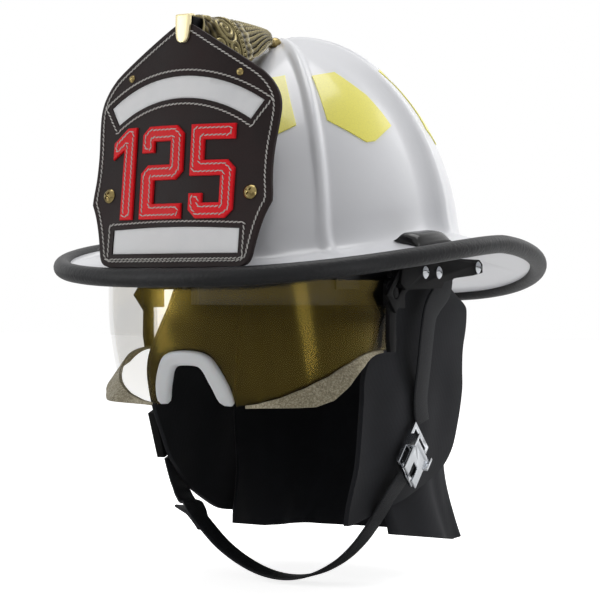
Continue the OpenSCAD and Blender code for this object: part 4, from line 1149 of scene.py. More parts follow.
def crest_relief(y, around):
    """Height of the casting's ornament, 0 to 1, at y and signed distance round its section."""
    side = np.abs(around)
    # Fluted feathers behind the band, in rows that fan back to the knob
    fan = side * 9.0 - 0.16 * np.sin((y - BAND_Y) * 0.12)
    feather = 1 - np.abs((fan % 1) * 2 - 1) ** 1.6
    barb = 0.18 * np.sin((y - side * 26) * 2.1)
    covert = 0.5 + 0.5 * np.cos((y + 96 - 7 * np.abs((side * 3.6) % 1 - 0.5)) * 0.55)
    wing = np.where(y > BAND_Y + 16, feather * 0.85 + barb, 0.45 * feather + 0.55 * covert)
    # Scrolls and leaves on each side in front of the band
    scroll = np.zeros_like(y)
    for cy, cu, turn, size in SCROLLS:
        dy, du = y - cy, (side - cu) * 26
        reach = np.hypot(dy, du)
        phase = np.arctan2(du, dy) / (2 * np.pi) * turn
        spiral = np.abs(((reach / 3.1 + phase) % 1) - 0.5) * 2
        scroll = np.maximum(scroll, np.where(reach < size, 1 - spiral ** 1.5, 0))
    leaf = 0.5 + 0.5 * np.sin(y * 1.15 + side * 9) * np.cos(side * 17 - y * 0.5)
    scroll = np.maximum(scroll, 0.55 * leaf)
    # A beaded band between them
    at = (side * 13) % 1 - 0.5
    beads = np.sqrt(np.maximum(0, 1 - (at / 0.5) ** 2 - ((y - BAND_Y) / 1.5) ** 2))
    rails = np.exp(-((np.abs(y - BAND_Y) - 2.3) / 0.5) ** 2)
    band = np.maximum(beads, rails * 0.9)
    near = np.abs(y - BAND_Y) < 3.1
    relief = np.where(near, band, np.where(y > BAND_Y, wing, scroll))
    from_front = y - CREST_Y[0] + CREST_REACH * side ** 1.3
    rim = np.maximum(blend01(0.95, 0.99, side), blend01(2.2, 0.8, from_front))
    return np.clip(relief * (1 - rim) + 0.9 * rim, 0, 1)


def worn_high(piece, relief):
    """Stores how high each point of the casting stands, for the colour of its wear."""
    layer = piece.data.attributes.new("relief", "FLOAT", "POINT")
    layer.data.foreach_set("value", relief.astype(np.float32))


class HELMET_OT_crest(bpy.types.Operator):
    """Builds the cast crest with its scrolls, beads and feathers, its tongue, pad and knob"""
    bl_idname = "helmet.crest"
    bl_label = "Crest"

    def execute(self, context):
        rows, across = 320, 201
        u = np.linspace(-1, 1, across)
        side = np.abs(u)
        front_y = CREST_Y[0] - CREST_REACH * side ** 1.3
        rings, reliefs = [], []

        def section(y, inset):
            w, top, low = lookup(y, CREST_W), lookup(y, CREST_TOP), lookup(y, CREST_LOW)
            arch = mix(1.25, 0.6, blend01(-100, -50, y))
            x = np.sign(u) * (w - inset * 1.3) * sind(90 * side) ** 0.95
            z = low + (top - low - inset * 1.4) * np.maximum(cosd(90 * side), 0) ** arch
            return np.stack([x, y, z], 1)

        for share in np.linspace(0, 1, rows):
            y = mix(front_y, CREST_Y[1], share)
            flat, inner = section(y, 0), section(y, CREST_WALL)
            relief = crest_relief(y, u)
            out = unit(flat - np.stack([0 * y, y, lookup(y, CREST_LOW) - 6], 1))
            fade = blend01(CREST_Y[1], CREST_Y[1] - 3, y)
            outer = flat + out * ((relief - 0.6) * RELIEF_DEPTH * fade)[:, None]
            rings.append(np.vstack([outer, inner[::-1]]))
            reliefs.append(np.concatenate([relief, np.zeros(across)]))
        crest = make_mesh("cast_crest", *skin(rings, ends=True), sharp=70)
        worn_high(crest, np.concatenate(reliefs))
        give(crest, cast_brass, ["crest"])

        # A wall closes the casting's front a little behind its edge
        y = front_y + 1.2
        arch = section(y, CREST_WALL * 0.6)
        sill = np.stack([arch[:, 0], y, np.minimum(lookup(y, CREST_LOW), arch[:, 2]) - 1.5], 1)
        rings = [np.array([a, b, b + [0, 1.6, 0], a + [0, 1.6, 0]]) for a, b in zip(arch, sill)][::4]
        front = make_mesh("crest_front", *skin(rings, ends=True), sharp=50)
        curl = np.array([v.co[:] for v in front.data.vertices]) / MM
        worn_high(front, 0.55 + 0.4 * np.sin(curl[:, 0] * 1.7 + curl[:, 2]) * np.cos(curl[:, 2] * 1.3))
        give(front, cast_brass)

        # A plain web carries the casting on the shell
        y = np.linspace(-120, -50, 20)
        low = np.stack([0 * y, y, dome(0 * y, y) + 0.3], 1)
        high = np.stack([0 * y, y, lookup(y, CREST_TOP) - 3.4], 1)
        rings = [np.array([a - [2, 0, 0], a + [2, 0, 0], b + [2, 0, 0], b - [2, 0, 0]])
                 for a, b in zip(low, high)]
        foot = make_mesh("crest_foot", *skin(rings, ends=True), sharp=30)
        give(foot, polished_brass)

        # The blunt tail that closes the casting, with a raised rim
        tail_y = CREST_Y[1]
        end = section(np.full(across, tail_y), 0)[::4]
        middle = end.mean(0)
        rings = [middle + (end - middle) * scale + [0, back, 0]
                 for scale, back in ((0.93, -2.4), (1.0, -2), (1.0, 0.2), (0.9, 0.7), (0.78, 0.4))]
        points, faces = skin(rings, capped=True)
        tail = make_mesh("crest_tail", points, faces, sharp=40)
        worn_high(tail, np.full(len(points), 0.7))
        give(tail, cast_brass)

        # The tongue lies on the leather's tip and hooks over it
        rings = []
        for h, half in through(TONGUE, 30):
            x = np.linspace(-half, half, 13)
            edge = 0.35 * np.abs(x / half) ** 6
            front = on_leather(np.stack([x, np.full(13, h), 2.1 - edge], 1))
            back = on_leather(np.stack([x[::-1], np.full(13, h), np.full(13, 0.1)], 1))
            rings.append(np.vstack([front, back]))
        tip = rings[-1]
        for turn, back in ((0.6, 0.5), (0.9, 1.6), (0.9, 4.5)):
            lift = np.where(np.arange(26) < 13, turn, turn - 0.9)[:, None] * [0, 0, 1]
            rings.append(tip + lift + [0, back, 0])
        tongue = make_mesh("crest_tongue_strip", *skin(rings, ends=True), sharp=40)
        give(tongue, pale_brass, ["crest_tongue"])
        pad = softened("crest_tip_pad", "tip_pad", 0.8)
        pad.data.transform(Matrix.Translation(Vector((0, 0, 1.4)) * MM)
                           @ Matrix.Diagonal((0.8, 1, 1, 1)))
        give(pad, moulded_nylon, ["tip_pad"])

        # The knob ends the casting: a ball on a short neck that comes to a point behind
        profile = [(2.6, -4.5), (2.6, -0.6), (3.1, -0.2), (3.1, 0.5), (2.3, 0.9), (2.3, 1.5)]
        profile += [(4.5 * sind(a), 5.2 - 4.5 * cosd(a)) for a in range(32, 130, 12)]
        profile += [(2.5, 9.0), (1.4, 10.0), (0.6, 10.9), (0.0, 11.2)]
        knob = turned_head("crest_ball", profile)
        knob.data.transform(Matrix.Translation(Vector((0, tail_y + 5.6, 135.8)) * MM)
                            @ Matrix.Rotation(math.radians(-90), 4, "X"))
        give(knob, polished_brass, ["crest_knob"])
        return {"FINISHED"}


# Reflective pieces: upright angle and the column angles between which the piece lies there
TRIM_SIDE = [[29.5, 66.6, 70.6], [33.7, 59.5, 81], [38.3, 51.2, 79.5], [45, 50.8, 76.5],
             [56, 50.4, 66.5]]
TRIM_FRONT = [[32, 13, 15], [34.5, 9, 20.5], [38.3, 8, 36.6], [45, 9.5, 35], [58.6, 17, 32]]


def trim_span(low, high, quarter):
    """Column angles of a reflective piece in each quarter of the crown's left half."""
    middle, half = 185 - (low + high) / 2, (high - low) * 0.35
    return ((low, high), (low, high), (middle - half, middle + half), (90 + low, 90 + high))[quarter]


class HELMET_OT_reflective(bpy.types.Operator):
    """Lays the yellow reflective pieces on the crown"""
    bl_idname = "helmet.reflective"
    bl_label = "Reflective pieces"

    def execute(self, context):
        pieces = []
        for quarter in range(4):
            table = np.array(TRIM_FRONT if quarter == 1 else TRIM_SIDE)
            levels = np.vstack([np.linspace(a, b, 15)[:-1] for a, b in zip(table[:-1], table[1:])]
                               + [table[-1:]])
            rings = []
            for e, low, high in levels:
                t = np.linspace(*trim_span(low, high, quarter), 61)
                rings.append(np.vstack([crown_pt(t, e, -0.65), crown_pt(t[::-1], e, 0.3)]))
            points, faces = skin(rings, ends=True)
            for side in (1, -1):
                pieces.append(make_mesh("tape", points * [side, 1, 1], faces, 40))
        trim = joined("reflective_pieces", pieces)
        give(trim, prismatic_tape, ["reflective_trim"])
        return {"FINISHED"}


COVER_SPAN = (68.5, 80.5)
# Rows of a side cover: share up the fillet (over 0) or out on the brim, lift off the shell, and the
# angle at which it is lifted
COVER_ROWS = [(0.16, 1.4, 35), (0.08, 5.2, 45), (-0.04, 6.6, 62), (-0.3, 6.0, 80), (-0.42, 1.2, 90)]


class HELMET_OT_side_covers(bpy.types.Operator):
    """Builds the low covers at the crown's foot"""
    bl_idname = "helmet.side_covers"
    bl_label = "Side covers"

    def execute(self, context):
        t = np.linspace(*COVER_SPAN, 41)
        middle, half = sum(COVER_SPAN) / 2, (COVER_SPAN[1] - COVER_SPAN[0]) / 2
        x, y = crown_plan(t)
        away = unit(np.stack([x, y, 0 * x], 1))
        share = 0.25 + 0.75 * (1 - np.abs((t - middle) / half) ** 8)
        outer, inner = [], []
        for q, lift, angle in through(COVER_ROWS, 21):
            if q > 0:
                foot = fillet_pt(t, q, 0, SHELL_T / 2)
            else:
                foot = brim_pt(t, mix(0.22, 0.66, q / COVER_ROWS[-1][0]), 0, SHELL_T / 2)
            out = away * cosd(angle) + [0, 0, sind(angle)]
            outer.append(foot + out * (0.6 + lift * share)[:, None])
            inner.append(foot + out * 0.5)
        points, faces = skin(np.stack(outer + inner[::-1], 1), ends=True)
        for side, name in ((1, "left"), (-1, "right")):
            cover = make_mesh("rivet_cover_" + name, points * [side, 1, 1], faces, 50)
            give(cover, gloss_nylon, ["side_cover_" + name])
        return {"FINISHED"}


# The visor's shape, after the rules of its solids. At distances from the middle: the crease where the
# lens ends, the skirt's hem, the lens's edge over the nose and the nose guard's two lines.
LENS_BACK_Y, LENS_TOP_Z, LENS_T, LENS_N = -46.0, -24.0, 2.4, 2.8
CREASE = [[29, -103], [44, -101], [58, -97], [70, -91], [79, -84], [84, -76.5], [87.5, -68.5]]
HEM = [[31, -104.2], [50, -103.4], [72, -102.2], [78, -98.5], [82.5, -90], [86, -79], [87.5, -70]]
NOSE_TOP = [[0, -68], [11, -69], [18, -73], [23, -81], [27, -91], [29, -103]]
NOSE_OUT = [[0, -68], [7, -68.4], [13, -69.8], [18, -73], [23, -81], [27, -91], [28.8, -103]]
NOSE_IN = [[0, -77.5], [6, -77.8], [9.5, -79], [12, -82], [14, -87], [16.5, -93], [19.5, -102.5]]


def lens_a(z):
    return 92 - 0.0015 * (z + 35) ** 2


def lens_b(z):
    return 102 - 0.0031 * (z + 35) ** 2


def lens_pt(t, z, out):
    return np.stack([(lens_a(z) + out) * spow(sind(t), LENS_N),
                     LENS_BACK_Y - (lens_b(z) + out) * spow(cosd(t), LENS_N), z + 0 * t], 1)


def lens_x(t):
    return np.abs(lens_a(-90) * spow(sind(t), LENS_N))


def lens_low(t):
    x = lens_x(t)
    return np.where(x < 29.6, lookup(np.maximum(0, x - 1), NOSE_TOP) + 0.4, lookup(x, CREASE))


class HELMET_OT_visor(bpy.types.Operator):
    """Builds the gold lens, its skirt and the nose guard"""
    bl_idname = "helmet.visor"
    bl_label = "Visor"

    def execute(self, context):
        t = np.concatenate([np.linspace(-90, -14.6, 110), np.linspace(-14.4, 14.4, 73),
                            np.linspace(14.6, 90, 110)])
        low = lens_low(t)
        steps = np.linspace(0, 1, 19)
        faces_out = [lens_pt(t, mix(LENS_TOP_Z, low, s), LENS_T / 2) for s in steps]
        edge = [lens_pt(t, low - 0.35, 0.5), lens_pt(t, low - 0.35, -0.5)]
        faces_in = [lens_pt(t, mix(LENS_TOP_Z, low, s), -LENS_T / 2) for s in steps[::-1]]
        rings = np.stack(faces_out + edge + faces_in, 1)
        lens = make_mesh("gold_lens", *skin(rings, ends=True), sharp=60)
        give(lens, gold_mirror, ["visor_lens"], body="visor")

        t = np.linspace(17, 88.5, 110)
        top = lens_low(t) - 0.25
        hem = np.minimum(top - 1.2, lookup(np.maximum(31, lens_x(t)), HEM))
        flare = 0.4 + 5.2 * blend01(20, 45, t) * (1 - blend01(60, 86, t))
        steps = np.linspace(0, 1, 9)
        faces_out = [lens_pt(t, mix(top, hem, s), 0.9 + 2 * s * flare - 0.15 * s) for s in steps]
        faces_in = [lens_pt(t, mix(top, hem, s), -0.9 + 2 * s * flare + 0.15 * s) for s in steps[::-1]]
        rings = np.stack(faces_out + [lens_pt(t, hem - 0.3, 2 * flare)] + faces_in, 1)
        points, faces = skin(rings, ends=True)
        skirt = joined("lens_skirt", [make_mesh("skirt", points * [side, 1, 1], faces, 60)
                                      for side in (1, -1)])
        give(skirt, flecked_elastomer, ["visor_skirt"], body="visor")

        # The guard's sections lie between its two lines, from the right end over the nose to the left
        half_rows = 24
        outer, inner = through(NOSE_OUT, half_rows + 1), through(NOSE_IN, half_rows + 1)
        rings = []
        for k in range(-half_rows, half_rows + 1):
            a, b = outer[abs(k)], inner[abs(k)]
            ring = []
            end = max(0.0, (abs(k) - half_rows + 2) / 2)
            slim = math.sqrt(1 - 0.75 * end ** 2)
            for phi in np.arange(0, 360, 15):
                share = 0.5 - 0.5 * slim * spow(cosd(phi), 3)
                groove = 0.12 * math.exp(-((share - 0.68) / 0.07) ** 2)
                out = 0.4 + 3.8 * slim * spow(sind(phi), 3) * (1 - groove)
                x, z = mix(a, b, share)
                depth = lens_b(z) * (1 - min(1, abs(x) / lens_a(z)) ** LENS_N) ** (1 / LENS_N)
                ring.append((-x if k < 0 else x, LENS_BACK_Y - depth - out, z))
            rings.append(ring)
        guard = make_mesh("nose_bridge_guard", *skin(rings, capped=True), sharp=50)
        give(guard, white_elastomer, ["nose_guard"], body="visor")
        return {"FINISHED"}


class HELMET_OT_visor_hardware(bpy.types.Operator):
    """Rounds the edges of the brackets, tracks and visor arms"""
    bl_idname = "helmet.visor_hardware"
    bl_label = "Tracks and brackets"

    def execute(self, context):
        for side in ("left", "right"):
            for node, body in (("bracket_", "helmet"), ("track_", "helmet"), ("visor_arm_", "visor")):
                dressed(node.replace("visor_", "slide_") + side + "_part", node + side, 0.35,
                        moulded_nylon, body)
        return {"FINISHED"}


def cloth_sheet(name, rows, place, columns, t):
    """A thick cloth from rows: place(row, share across, inset) gives its points."""
    share = np.linspace(0, 1, columns)
    rings = []
    for row in rows:
        outer = place(row, share, 0.0)
        inner = place(row, share, t)
        middle = place(row, share, t / 2)
        first = middle[:1] + (middle[0] - middle[1]) * 0.3
        last = middle[-1:] + (middle[-1] - middle[-2]) * 0.3
        rings.append(np.vstack([outer, last, inner[::-1], first]))
    points, faces = skin(rings)
    n = len(rings[0])
    for base in (0, (len(rings) - 1) * n):
        for k in range(columns - 1):
            faces.append((base + k, base + k + 1, base + 2 * columns - 1 - k, base + 2 * columns - k))
        faces.append((base + columns - 1, base + columns, base + columns + 1))
        faces.append((base, base + 2 * columns, base + 2 * columns + 1))
    across = run_length(rings[len(rows) // 2])
    uv = [(across[i] * MM, row[0] * MM) for row in rows for i in range(n)]
    return make_mesh(name, points, faces, 60, uv=np.array(uv))


# Rows of the cape: height, half width, rear reach, squareness, fold depth, angle covered on the
# right and on the left
CAPE = [[-206, 84, 114, 4.2, 2.2, 84, 91.5], [-194, 81, 115, 3.8, 2, 84, 92],
        [-176, 78, 118, 3.2, 1.6, 82, 93.3], [-158, 77, 121, 2.8, 1.2, 80, 94],
        [-130, 77, 123, 2.6, 0.9, 80, 87.8], [-100, 78, 124, 2.6, 0.6, 80, 80],
        [-70, 79, 125, 2.6, 0.4, 78, 78], [-40, 81, 126, 2.6, 0.2, 74, 74],
        [-30, 80.5, 124.5, 2.6, 0, 66, 66], [COVER_Z - 0.3, 87.5, 126, 2.6, 0, 58, 58]]
# Rows of a flap: height, front edge, rear edge, half width
FLAP_TOP = [[-72, -61, 89, 86.6], [-56, -50, 97, 86.6], [-43, -40, 98, 86.6], [-35, -35, 89, 86.6],
            [-29, -31, 72, 86.6], [COVER_Z - 0.3, -20, 56, 87.5]]
FLAP = [[-181, -74, -68, 78], [-176, -75, -38, 79], [-168, -77, 0, 81.5], [-156, -80, 40, 86],
        [-142, -81, 57, 89.8], [-122, -80, 66, 91.2], [-100, -77, 74, 91], [-86, -72, 81, 88.5],
        *FLAP_TOP]
FLAP_BACK = [[-192, 48, 58, 92.5], [-188, 28, 62, 92.5], [-171, -5, 66, 91], [-158, -20, 67, 91],
             [-146, -32, 67, 91.2], [-128, -42, 69, 91.2], [-112, -51, 71, 91.2], [-96, -57, 75, 91],
             [-84, -62, 82, 88.5], *FLAP_TOP]


def cape_place(row, share, inset):
    z, w, reach, n, fold, right, left = row
    side = 2 * share - 1
    a = np.where(side > 0, left, right) * side
    folded = (fold + 0.25) * sind(a * 9 + 20) + 0.35 * sind(a * 23 + z * 1.7)
    x = (w - inset) * spow(sind(a), n) + folded * sind(a)
    y = (reach - inset) * spow(cosd(a), n) + folded * cosd(a)
    x = x - np.sign(x) * 5 * blend01(30, -20, y)
    lift = 14 * np.clip((75 - y) / 95, 0, 1) * blend01(-130, -206, z)
    return np.stack([x, y, z + lift], 1)


def flap_place(fold):
    def place(row, share, inset):
        z, front, rear, w = row
        y = mix(front, rear, share)
        back = np.maximum(0, y)
        wide = 1 - 0.00001 * back ** 2
        tight = np.maximum(0, 1 - (back / 126) ** 2.6) ** (1 / 2.6)
        x = w * mix(wide, tight, blend01(-44, -24, z))
        low = blend01(0, 1, (-60 - z) / 50)
        x = x - fold * low * sind(y * 3.1 + z * 0.6 + 40) - 0.3 * low * sind(y * 7.3 - z * 1.9)
        return np.stack([x - inset, y, 0 * x + z], 1)
    return place


class HELMET_OT_ear_cover(bpy.types.Operator):
    """Hangs the neck cape and the two ear flaps from their band"""
    bl_idname = "helmet.ear_cover"
    bl_label = "Ear cover"

    def execute(self, context):
        fold = context.scene.helmet_sizes.fold
        t = 3.4
        cape = cloth_sheet("cape_cloth", through(CAPE, 76), cape_place, 150, t)
        give(cape, twill_cloth, ["neck_cape"])
        left = cloth_sheet("left_flap_cloth", through(FLAP, 70), flap_place(fold), 70, t)
        give(left, twill_cloth, ["ear_flap_left"])
        right = cloth_sheet("right_flap_cloth", through(FLAP_BACK, 70), flap_place(fold), 70, t)
        right.data.transform(Matrix.Scale(-1, 4, (1, 0, 0)))
        tidy_mesh(right.data, 60)
        give(right, twill_cloth, ["ear_flap_right"])
        dressed("cover_band_strip", "cover_band", 0.6, moulded_nylon)
        return {"FINISHED"}


def ribbon(name, points, wide, w, t, count):
    """A webbing strap along a smooth line through points, with rounded edges and a map along it."""
    path = through(points, count)
    along = unit(np.gradient(path, axis=0))
    a = unit(np.asarray(wide, float) - along * (along @ np.asarray(wide, float))[:, None])
    b = np.cross(along, a)
    half, r = w / 2, t / 2
    section = [(-half + r, -r), (0, -r), (half - r, -r), (half - 0.3 * r, -0.7 * r), (half, 0)]
    section += [(half - 0.3 * r, 0.7 * r), (half - r, r), (0, r), (-half + r, r)]
    section += [(-half + 0.3 * r, 0.7 * r), (-half, 0), (-half + 0.3 * r, -0.7 * r)]
    rings = [[p + u * s + v * q for s, q in section] for p, u, v in zip(path, a, b)]
    uv = [(run * MM, s[0] * MM) for run in run_length(path) for s in section]
    return make_mesh(name, *skin(rings, capped=True), sharp=60, uv=np.array(uv))


PLATE_X = 99.0
STRAP_X = PLATE_X - 1.1
LEG_LEFT = [[STRAP_X, 24, -11], [STRAP_X, 23, -27], [STRAP_X, 9, -37], [97.5, 0, -48], [96, -5, -80],
            [95.2, -8.5, -103], [95.2, -6, -118]]
LEG_RIGHT = [[-STRAP_X, 24, -11], [-STRAP_X, 23, -27], [-STRAP_X, 12, -42], [-97.4, -6, -66],
             [-96.8, -22, -90], [-96.4, -29, -103.3]]


def chin_pt(x):
    drawn = 0.28 * (50 - x) if x > 50 else -0.15 * (x + 50) if x < -50 else 0
    return [x, -22 - 0.0011 * x * x + drawn, -226 + 0.0077 * x * x]


class HELMET_OT_chin_strap(bpy.types.Operator):
    """Builds the chin strap with its buckle and clip"""
    bl_idname = "helmet.chin_strap"
    bl_label = "Chin strap"

    def execute(self, context):
        for name, run in (("left", LEG_LEFT), ("right", LEG_RIGHT)):
            leg = ribbon("strap_leg_" + name, run, (0, 1, 0), 19, 2, 60)
            give(leg, nylon_webbing, ["strap_" + name])
        under = (88, 80, 70, 58, 44, 28, 12, -4, -20, -36, -50, -62, -71)
        loop = [[94.6, -33, -152.5]] + [chin_pt(x) for x in under]
        loop += [[-80, -17, -181], [-88, -14, -178], [-95.2, -12, -167], [-96.8, -19, -146]]
        free = [[-64, -25, -197.2], [-70, -23, -191.6], [-78, -18, -187.4], [-91, -11, -184]]
        strap = joined("chin_strap_loop", [ribbon("loop", loop, (0, 1, 0), 19, 2, 220),
                                           ribbon("free_end", free, (0, 1, 0), 17, 2, 40)])
        give(strap, nylon_webbing, ["chin_strap"])
        dressed("buckle_body", "buckle_frame", 0.4, bright_steel)
        dressed("buckle_cam", "buckle_lever", 0.35, bright_steel, "lever")
        dressed("slide_clip", "strap_clip_right", 0.6, moulded_nylon)
        return {"FINISHED"}


def stuffed(name, node):
    """A cushion blown up from its plain solid by a short cloth simulation."""
    pad = softened(name, node, 0.3)
    remesh = pad.modifiers.new("even faces", "REMESH")
    remesh.voxel_size = CUSHION_FACE * MM
    applied(pad)
    rest = np.array([v.co[:] for v in pad.data.vertices])
    scene = bpy.context.scene
    cloth = pad.modifiers.new("stuffing", "CLOTH")
    cloth.settings.use_pressure = True
    cloth.settings.uniform_pressure_force = 4
    cloth.settings.effector_weights.gravity = 0
    cloth.settings.quality = 5
    cloth.point_cache.frame_start, cloth.point_cache.frame_end = 1, 20
    for step in range(1, 21):
        scene.frame_set(step)
    applied(pad)
    scene.frame_set(1)
    blown = np.array([v.co[:] for v in pad.data.vertices])
    move = blown - rest
    far = np.linalg.norm(move, axis=1, keepdims=True)
    blown = rest + move * np.minimum(1, CUSHION_SWELL * MM / np.maximum(far, 1e-9))
    pad.data.vertices.foreach_set("co", blown.astype(np.float32).ravel())
    smooth = pad.modifiers.new("smoothed", "SUBSURF")
    smooth.levels = smooth.render_levels = 1
    applied(pad)
    pad.data.shade_smooth()
    give(pad, brushed_knit, [node])


BAND_HALF_W, BAND_HALF_L, BAND_MID_Y = 77.0, 95.0, 10.0
WEB_INSET, WEB_RISE = 3.5, 108.0
LINER_HALF_W, LINER_HALF_L, LINER_Y, LINER_TOP = 86.0, 96.1, 12.0, 135.8


class HELMET_OT_suspension(bpy.types.Operator):
    """Builds the headband, its cushions, straps and ratchet"""
    bl_idname = "helmet.suspension"
    bl_label = "Head suspension"

    def execute(self, context):
        for name, node, edge_mm, finish, body in (
                ("band_strip", "headband", 0.5, band_plastic, "helmet"),
                ("hanger_strips", "band_hangers", 0.4, band_plastic, "helmet"),
                ("ratchet_case", "ratchet_housing", 0.6, moulded_nylon, "helmet"),
                ("tail_strip_left", "band_tail_left", 0.2, band_plastic, "tail_left"),
                ("tail_strip_right", "band_tail_right", 0.2, band_plastic, "tail_right"),
                ("knob_wheel", "ratchet_knob", 0.5, moulded_nylon, "knob")):
            dressed(name, node, edge_mm, finish, body)
        for place, fill in (("brow", 0.7), ("nape", 0.7), ("crown", 0.6)):
            stuffed(place + "_cushion", place + "_pad")

        # Two straps cross over the head, each an arch from the headband up and down again
        half_w, half_l, end_z, turn_z = BAND_HALF_W - WEB_INSET, BAND_HALF_L - WEB_INSET, -30, -8
        arch = range(0, 181, 15)
        side = [[half_w, BAND_MID_Y, end_z]]
        side += [[half_w * cosd(a), BAND_MID_Y, turn_z + WEB_RISE * sind(a)] for a in arch]
        side += [[-half_w, BAND_MID_Y, end_z]]
        long = [[0, BAND_MID_Y - half_l, end_z]]
        long += [[0, 7 - (half_l - 3) * cosd(a), turn_z + (WEB_RISE + 1.5) * sind(a)] for a in arch]
        long += [[0, BAND_MID_Y + half_l - 6, -12.8]]
        webs = joined("crown_webs", [ribbon("side_web", side, (0, 1, 0), 18, 1.2, 120),
                                     ribbon("long_web", long, (1, 0, 0), 18, 1.2, 120)])
        give(webs, nylon_webbing, ["crown_straps"])

        # The liner: a cap with a lower edge that is cut higher over the face
        a = np.arange(0, 360, 3.0)
        low = mix(10.0, 50.0, blend01(40, 75, 90 - np.minimum(a, 360 - a)))

        def liner(e, inset):
            r = cosd(e)
            z = low * r ** 2 + (LINER_TOP + 1.0 - inset) * sind(e) * (1 - 0.25 * r)
            return np.stack([(LINER_HALF_W - inset) * sind(a) * r,
                             LINER_Y - (LINER_HALF_L - inset) * cosd(a) * r, z], 1)

        angles = np.linspace(0, 86, 26)
        rings = [liner(e, 9.0) for e in angles[::-1]] + [liner(e, 0.4) for e in angles]
        poles = [[0, LINER_Y, z] for z in (127.6, 136.2)]
        cap = make_mesh("foam_liner", *skin(rings, poles=poles), sharp=60)
        give(cap, liner_foam, ["impact_liner"])
        return {"FINISHED"}


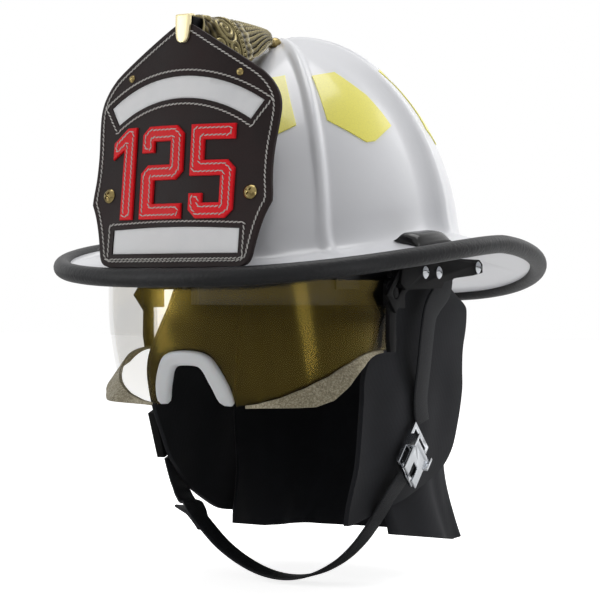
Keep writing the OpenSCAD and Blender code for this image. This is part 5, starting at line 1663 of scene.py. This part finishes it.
class HELMET_OT_stage(bpy.types.Operator):
    """Sets the floor, the soft lamps, the white surroundings and the camera"""
    bl_idname = "helmet.stage"
    bl_label = "Stage"

    def execute(self, context):
        scene = context.scene
        scene.view_settings.view_transform = "Standard"
        far = 6000
        corners = [(-far, -far, BASE_Z), (far, -far, BASE_Z), (far, far, BASE_Z), (-far, far, BASE_Z)]
        floor = make_mesh("floor", corners, [(0, 1, 2, 3)])
        paper = bpy.data.materials.new("white paper floor")
        paper.use_nodes = True
        tree = paper.node_tree
        shader = tree.nodes["Principled BSDF"]
        shader.inputs["Base Color"].default_value = rgba("#FFFFFF")
        shader.inputs["Roughness"].default_value = 0.9
        seen = tree.nodes.new("ShaderNodeLightPath")
        lift = maths(tree, "MULTIPLY", seen.outputs["Is Camera Ray"], 0.8)
        shader.inputs["Emission Color"].default_value = (1, 1, 1, 1)
        tree.links.new(lift, shader.inputs["Emission Strength"])
        floor.data.materials.append(paper)

        world = bpy.data.worlds.new("white surroundings")
        scene.world = world
        world.use_nodes = True
        tree = world.node_tree
        back = tree.nodes["Background"]
        back.inputs["Color"].default_value = (1, 1, 1, 1)
        path = tree.nodes.new("ShaderNodeLightPath")
        through_or_off = maths(tree, "MAXIMUM", path.outputs["Is Glossy Ray"],
                               path.outputs["Is Transmission Ray"])
        seen = maths(tree, "MAXIMUM", path.outputs["Is Camera Ray"], through_or_off)
        level = add(tree, "ShaderNodeMapRange", {"Value": seen, "To Min": 0.24, "To Max": 1.0})
        tree.links.new(level.outputs["Result"], back.inputs["Strength"])

        # Name, place, width, height and power; the two strips are only there to be mirrored
        aim = Vector((0, 0, -0.02))
        lamps = (("top_softbox", (0.0, 0.15, 1.5), 1.1, 1.1, 12.5),
                 ("front_softbox", (-1.0, -1.4, 0.35), 0.12, 1.3, 5),
                 ("right_softbox", (1.0, 1.45, 0.5), 0.5, 1.3, 16),
                 ("back_softbox", (0.5, 1.6, 0.9), 1.0, 0.8, 3),
                 ("far_strip", (-0.251, -0.402, -0.05), 0.06, 0.34, 0.2),
                 ("near_strip", (0.353, -0.219, -0.08), 0.09, 0.3, 0.2))
        for name, place, wide, high, power in lamps:
            lamp = bpy.data.lights.new(name, "AREA")
            lamp.shape = "RECTANGLE"
            lamp.size, lamp.size_y, lamp.energy = wide, high, power
            holder = new_object(name, lamp)
            holder.location = place
            holder.rotation_euler = (aim - Vector(place)).to_track_quat("-Z", "Y").to_euler()
            if "strip" in name:
                holder.visible_diffuse = holder.visible_camera = False
            # The right softbox lights the shell's far flank, without a bright band mirrored on it
            holder.visible_glossy = name != "right_softbox"
            if name == "near_strip":
                holder.rotation_euler.rotate_axis("Z", math.radians(25))

        # The photograph's view: 30.4 degrees to the helmet's left, from slightly below the brim
        azimuth, rise, distance = math.radians(30.4), math.radians(-1.4), 1.3
        focal_px, width_px, origin_px = 1877.0, 600, (302.9, 246.6)
        back_to = Vector((math.sin(azimuth) * math.cos(rise), -math.cos(azimuth) * math.cos(rise),
                          math.sin(rise)))
        right = Vector((math.cos(azimuth), math.sin(azimuth), 0))
        up = back_to.cross(right)
        right_px, down_px = width_px / 2 - origin_px[0], width_px / 2 - origin_px[1]
        look = -back_to + right * (right_px / focal_px) - up * (down_px / focal_px)
        camera = bpy.data.cameras.new("photo_camera")
        camera.sensor_width, camera.lens = 36, 36 * focal_px / width_px
        camera.clip_end = 50
        holder = new_object("photo_camera", camera)
        holder.location = back_to * distance
        holder.rotation_euler = look.to_track_quat("-Z", "Y").to_euler()
        scene.camera = holder
        return {"FINISHED"}


class HELMET_PT_panel(bpy.types.Panel):
    bl_idname = "HELMET_PT_panel"
    bl_label = "Traditional Fire Helmet"
    bl_space_type = "VIEW_3D"
    bl_region_type = "UI"
    bl_category = "Helmet"

    def draw(self, context):
        for group in (context.scene.helmet_sizes, context.scene.helmet_colours):
            for key in group.__annotations__:
                self.layout.prop(group, key)
        for operator in OPERATORS:
            self.layout.operator(operator.bl_idname)


OPERATORS = (
    HELMET_OT_solids, HELMET_OT_shell, HELMET_OT_leather, HELMET_OT_number, HELMET_OT_stitching,
    HELMET_OT_fasteners, HELMET_OT_crest, HELMET_OT_reflective, HELMET_OT_side_covers, HELMET_OT_visor,
    HELMET_OT_visor_hardware, HELMET_OT_ear_cover, HELMET_OT_chin_strap, HELMET_OT_suspension,
    HELMET_OT_stage)
CLASSES = (HelmetSizes, HelmetColours, *OPERATORS, HELMET_PT_panel)


def register():
    for c in CLASSES:
        bpy.utils.register_class(c)
    bpy.types.Scene.helmet_sizes = bpy.props.PointerProperty(type=HelmetSizes)
    bpy.types.Scene.helmet_colours = bpy.props.PointerProperty(type=HelmetColours)


def unregister():
    del bpy.types.Scene.helmet_sizes
    del bpy.types.Scene.helmet_colours
    for c in reversed(CLASSES):
        bpy.utils.unregister_class(c)


def main():
    register()
    for operator in OPERATORS:
        group, name = operator.bl_idname.split(".")
        getattr(getattr(bpy.ops, group), name)()


if __name__ == "__main__":
    main()
